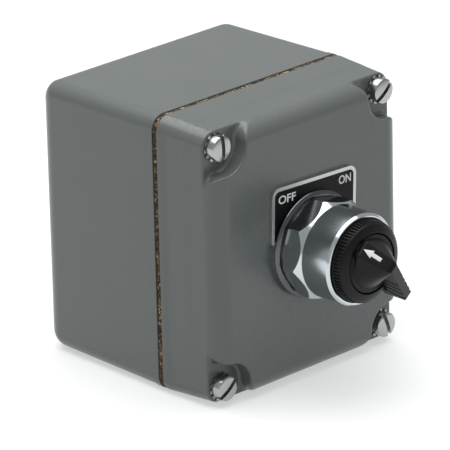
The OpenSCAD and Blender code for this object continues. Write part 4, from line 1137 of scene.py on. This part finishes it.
def spring(name, node, wire, turns):
    """A coil that fills a CAD spring's box."""
    low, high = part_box(node)
    r = (high.x - low.x) / 2 / MM - wire
    foot = ((low.x + high.x) / 2 / MM, (low.z + high.z) / 2 / MM, -high.y / MM + wire)
    place = UPRIGHT @ Matrix.Translation(foot)
    coil = points_object(name, [], [])
    return grow(coil, wound, place=place, sharp=50, Turns=float(turns), Radius=r, Wire=wire,
                Height=(high.y - low.y) / MM - 2 * wire, Finish=FINISHES["steel"])


hand_over(spring("detent_coil", "detent_spring", 0.25, 8), "steel", "station", "detent_spring")
for side in ("off", "on"):
    plunger = side + "_plunger"
    hand_over(spring(side + "_contact_coil", side + "_contact_spring", 0.3, 4), "steel", plunger,
              side + "_contact_spring")
    low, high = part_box(side + "_return_spring")
    coil = spring(side + "_return_coil", side + "_return_spring", 0.35, 4)
    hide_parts(side + "_return_spring")
    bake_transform(coil)
    print(coil.name, len(coil.data.polygons), "faces")

# %% [markdown]
# The camera stands where the photographer's stood. A long lens, far back, keeps the box's edges almost
# parallel. Its turn is a rotation vector: the direction is the axis and the length is the angle. The
# floor is one pale plane and the studio is soft: a large light overhead, a weaker one from the left,
# and a grey room for the chrome to reflect. The floor glows a little, so that it comes out as white
# as paper does in a studio, and it is kept out of diffuse light, so that the glow doesn't lift the
# shaded sides of the box.

# %% Camera
camera_data = bpy.data.cameras.new("camera")
camera = bpy.data.objects.new("camera", camera_data)
bpy.context.scene.collection.objects.link(camera)
bpy.context.scene.camera = camera
camera_data.sensor_width = 36
camera_data.lens = 387.3
camera_data.clip_start = 0.05
camera_data.clip_end = 20
STAND = (-1.1268, -1.2286, 0.6302)
TURN = Vector((1.8234, -0.7556, 0.4868))
to_camera = Matrix.Rotation(TURN.length, 3, TURN.normalized())
right, down, forward = (Vector(to_camera[i]) for i in range(3))
facing = Matrix((right, -down, -forward)).transposed().to_4x4()
camera.matrix_world = Matrix.Translation(STAND) @ facing

# %% Floor and lights
FLOOR = 4.0
floor_z = cad_box[0][2]
floor_mesh = bpy.data.meshes.new("studio_floor")
floor_mesh.from_pydata([(-FLOOR, -FLOOR, floor_z), (FLOOR, -FLOOR, floor_z), (FLOOR, FLOOR, floor_z),
                        (-FLOOR, FLOOR, floor_z)], [], [(0, 1, 2, 3)])
floor = bpy.data.objects.new("studio_floor", floor_mesh)
bpy.context.scene.collection.objects.link(floor)
floor_mesh.materials.append(start("white_paper", "#c4c4c4", Roughness=0.9, Emission_Strength=0.48)[0])
floor.visible_diffuse = False

room = bpy.data.worlds.new("studio")
bpy.context.scene.world = room
room.use_nodes = True
room.node_tree.nodes["Background"].inputs["Color"].default_value = linear("#c9cccd")
room.node_tree.nodes["Background"].inputs["Strength"].default_value = 0.75
bpy.context.scene.view_settings.view_transform = "Standard"


def softbox(name, place, aim, size, power):
    """A large area light at a place, aimed at a point."""
    data = bpy.data.lights.new(name, "AREA")
    data.shape = "RECTANGLE"
    data.size, data.size_y = size
    data.energy = power
    light = bpy.data.objects.new(name, data)
    light.location = place
    light.rotation_euler = (Vector(aim) - Vector(place)).to_track_quat("-Z", "Y").to_euler()
    bpy.context.scene.collection.objects.link(light)


CENTRE = (0, -0.05, 0)
softbox("top_softbox", (0.0, 0.1, 1.3), CENTRE, (1.6, 1.6), 23)
softbox("left_softbox", (-1.3, 0.1, 0.5), CENTRE, (0.8, 1.0), 0.6)
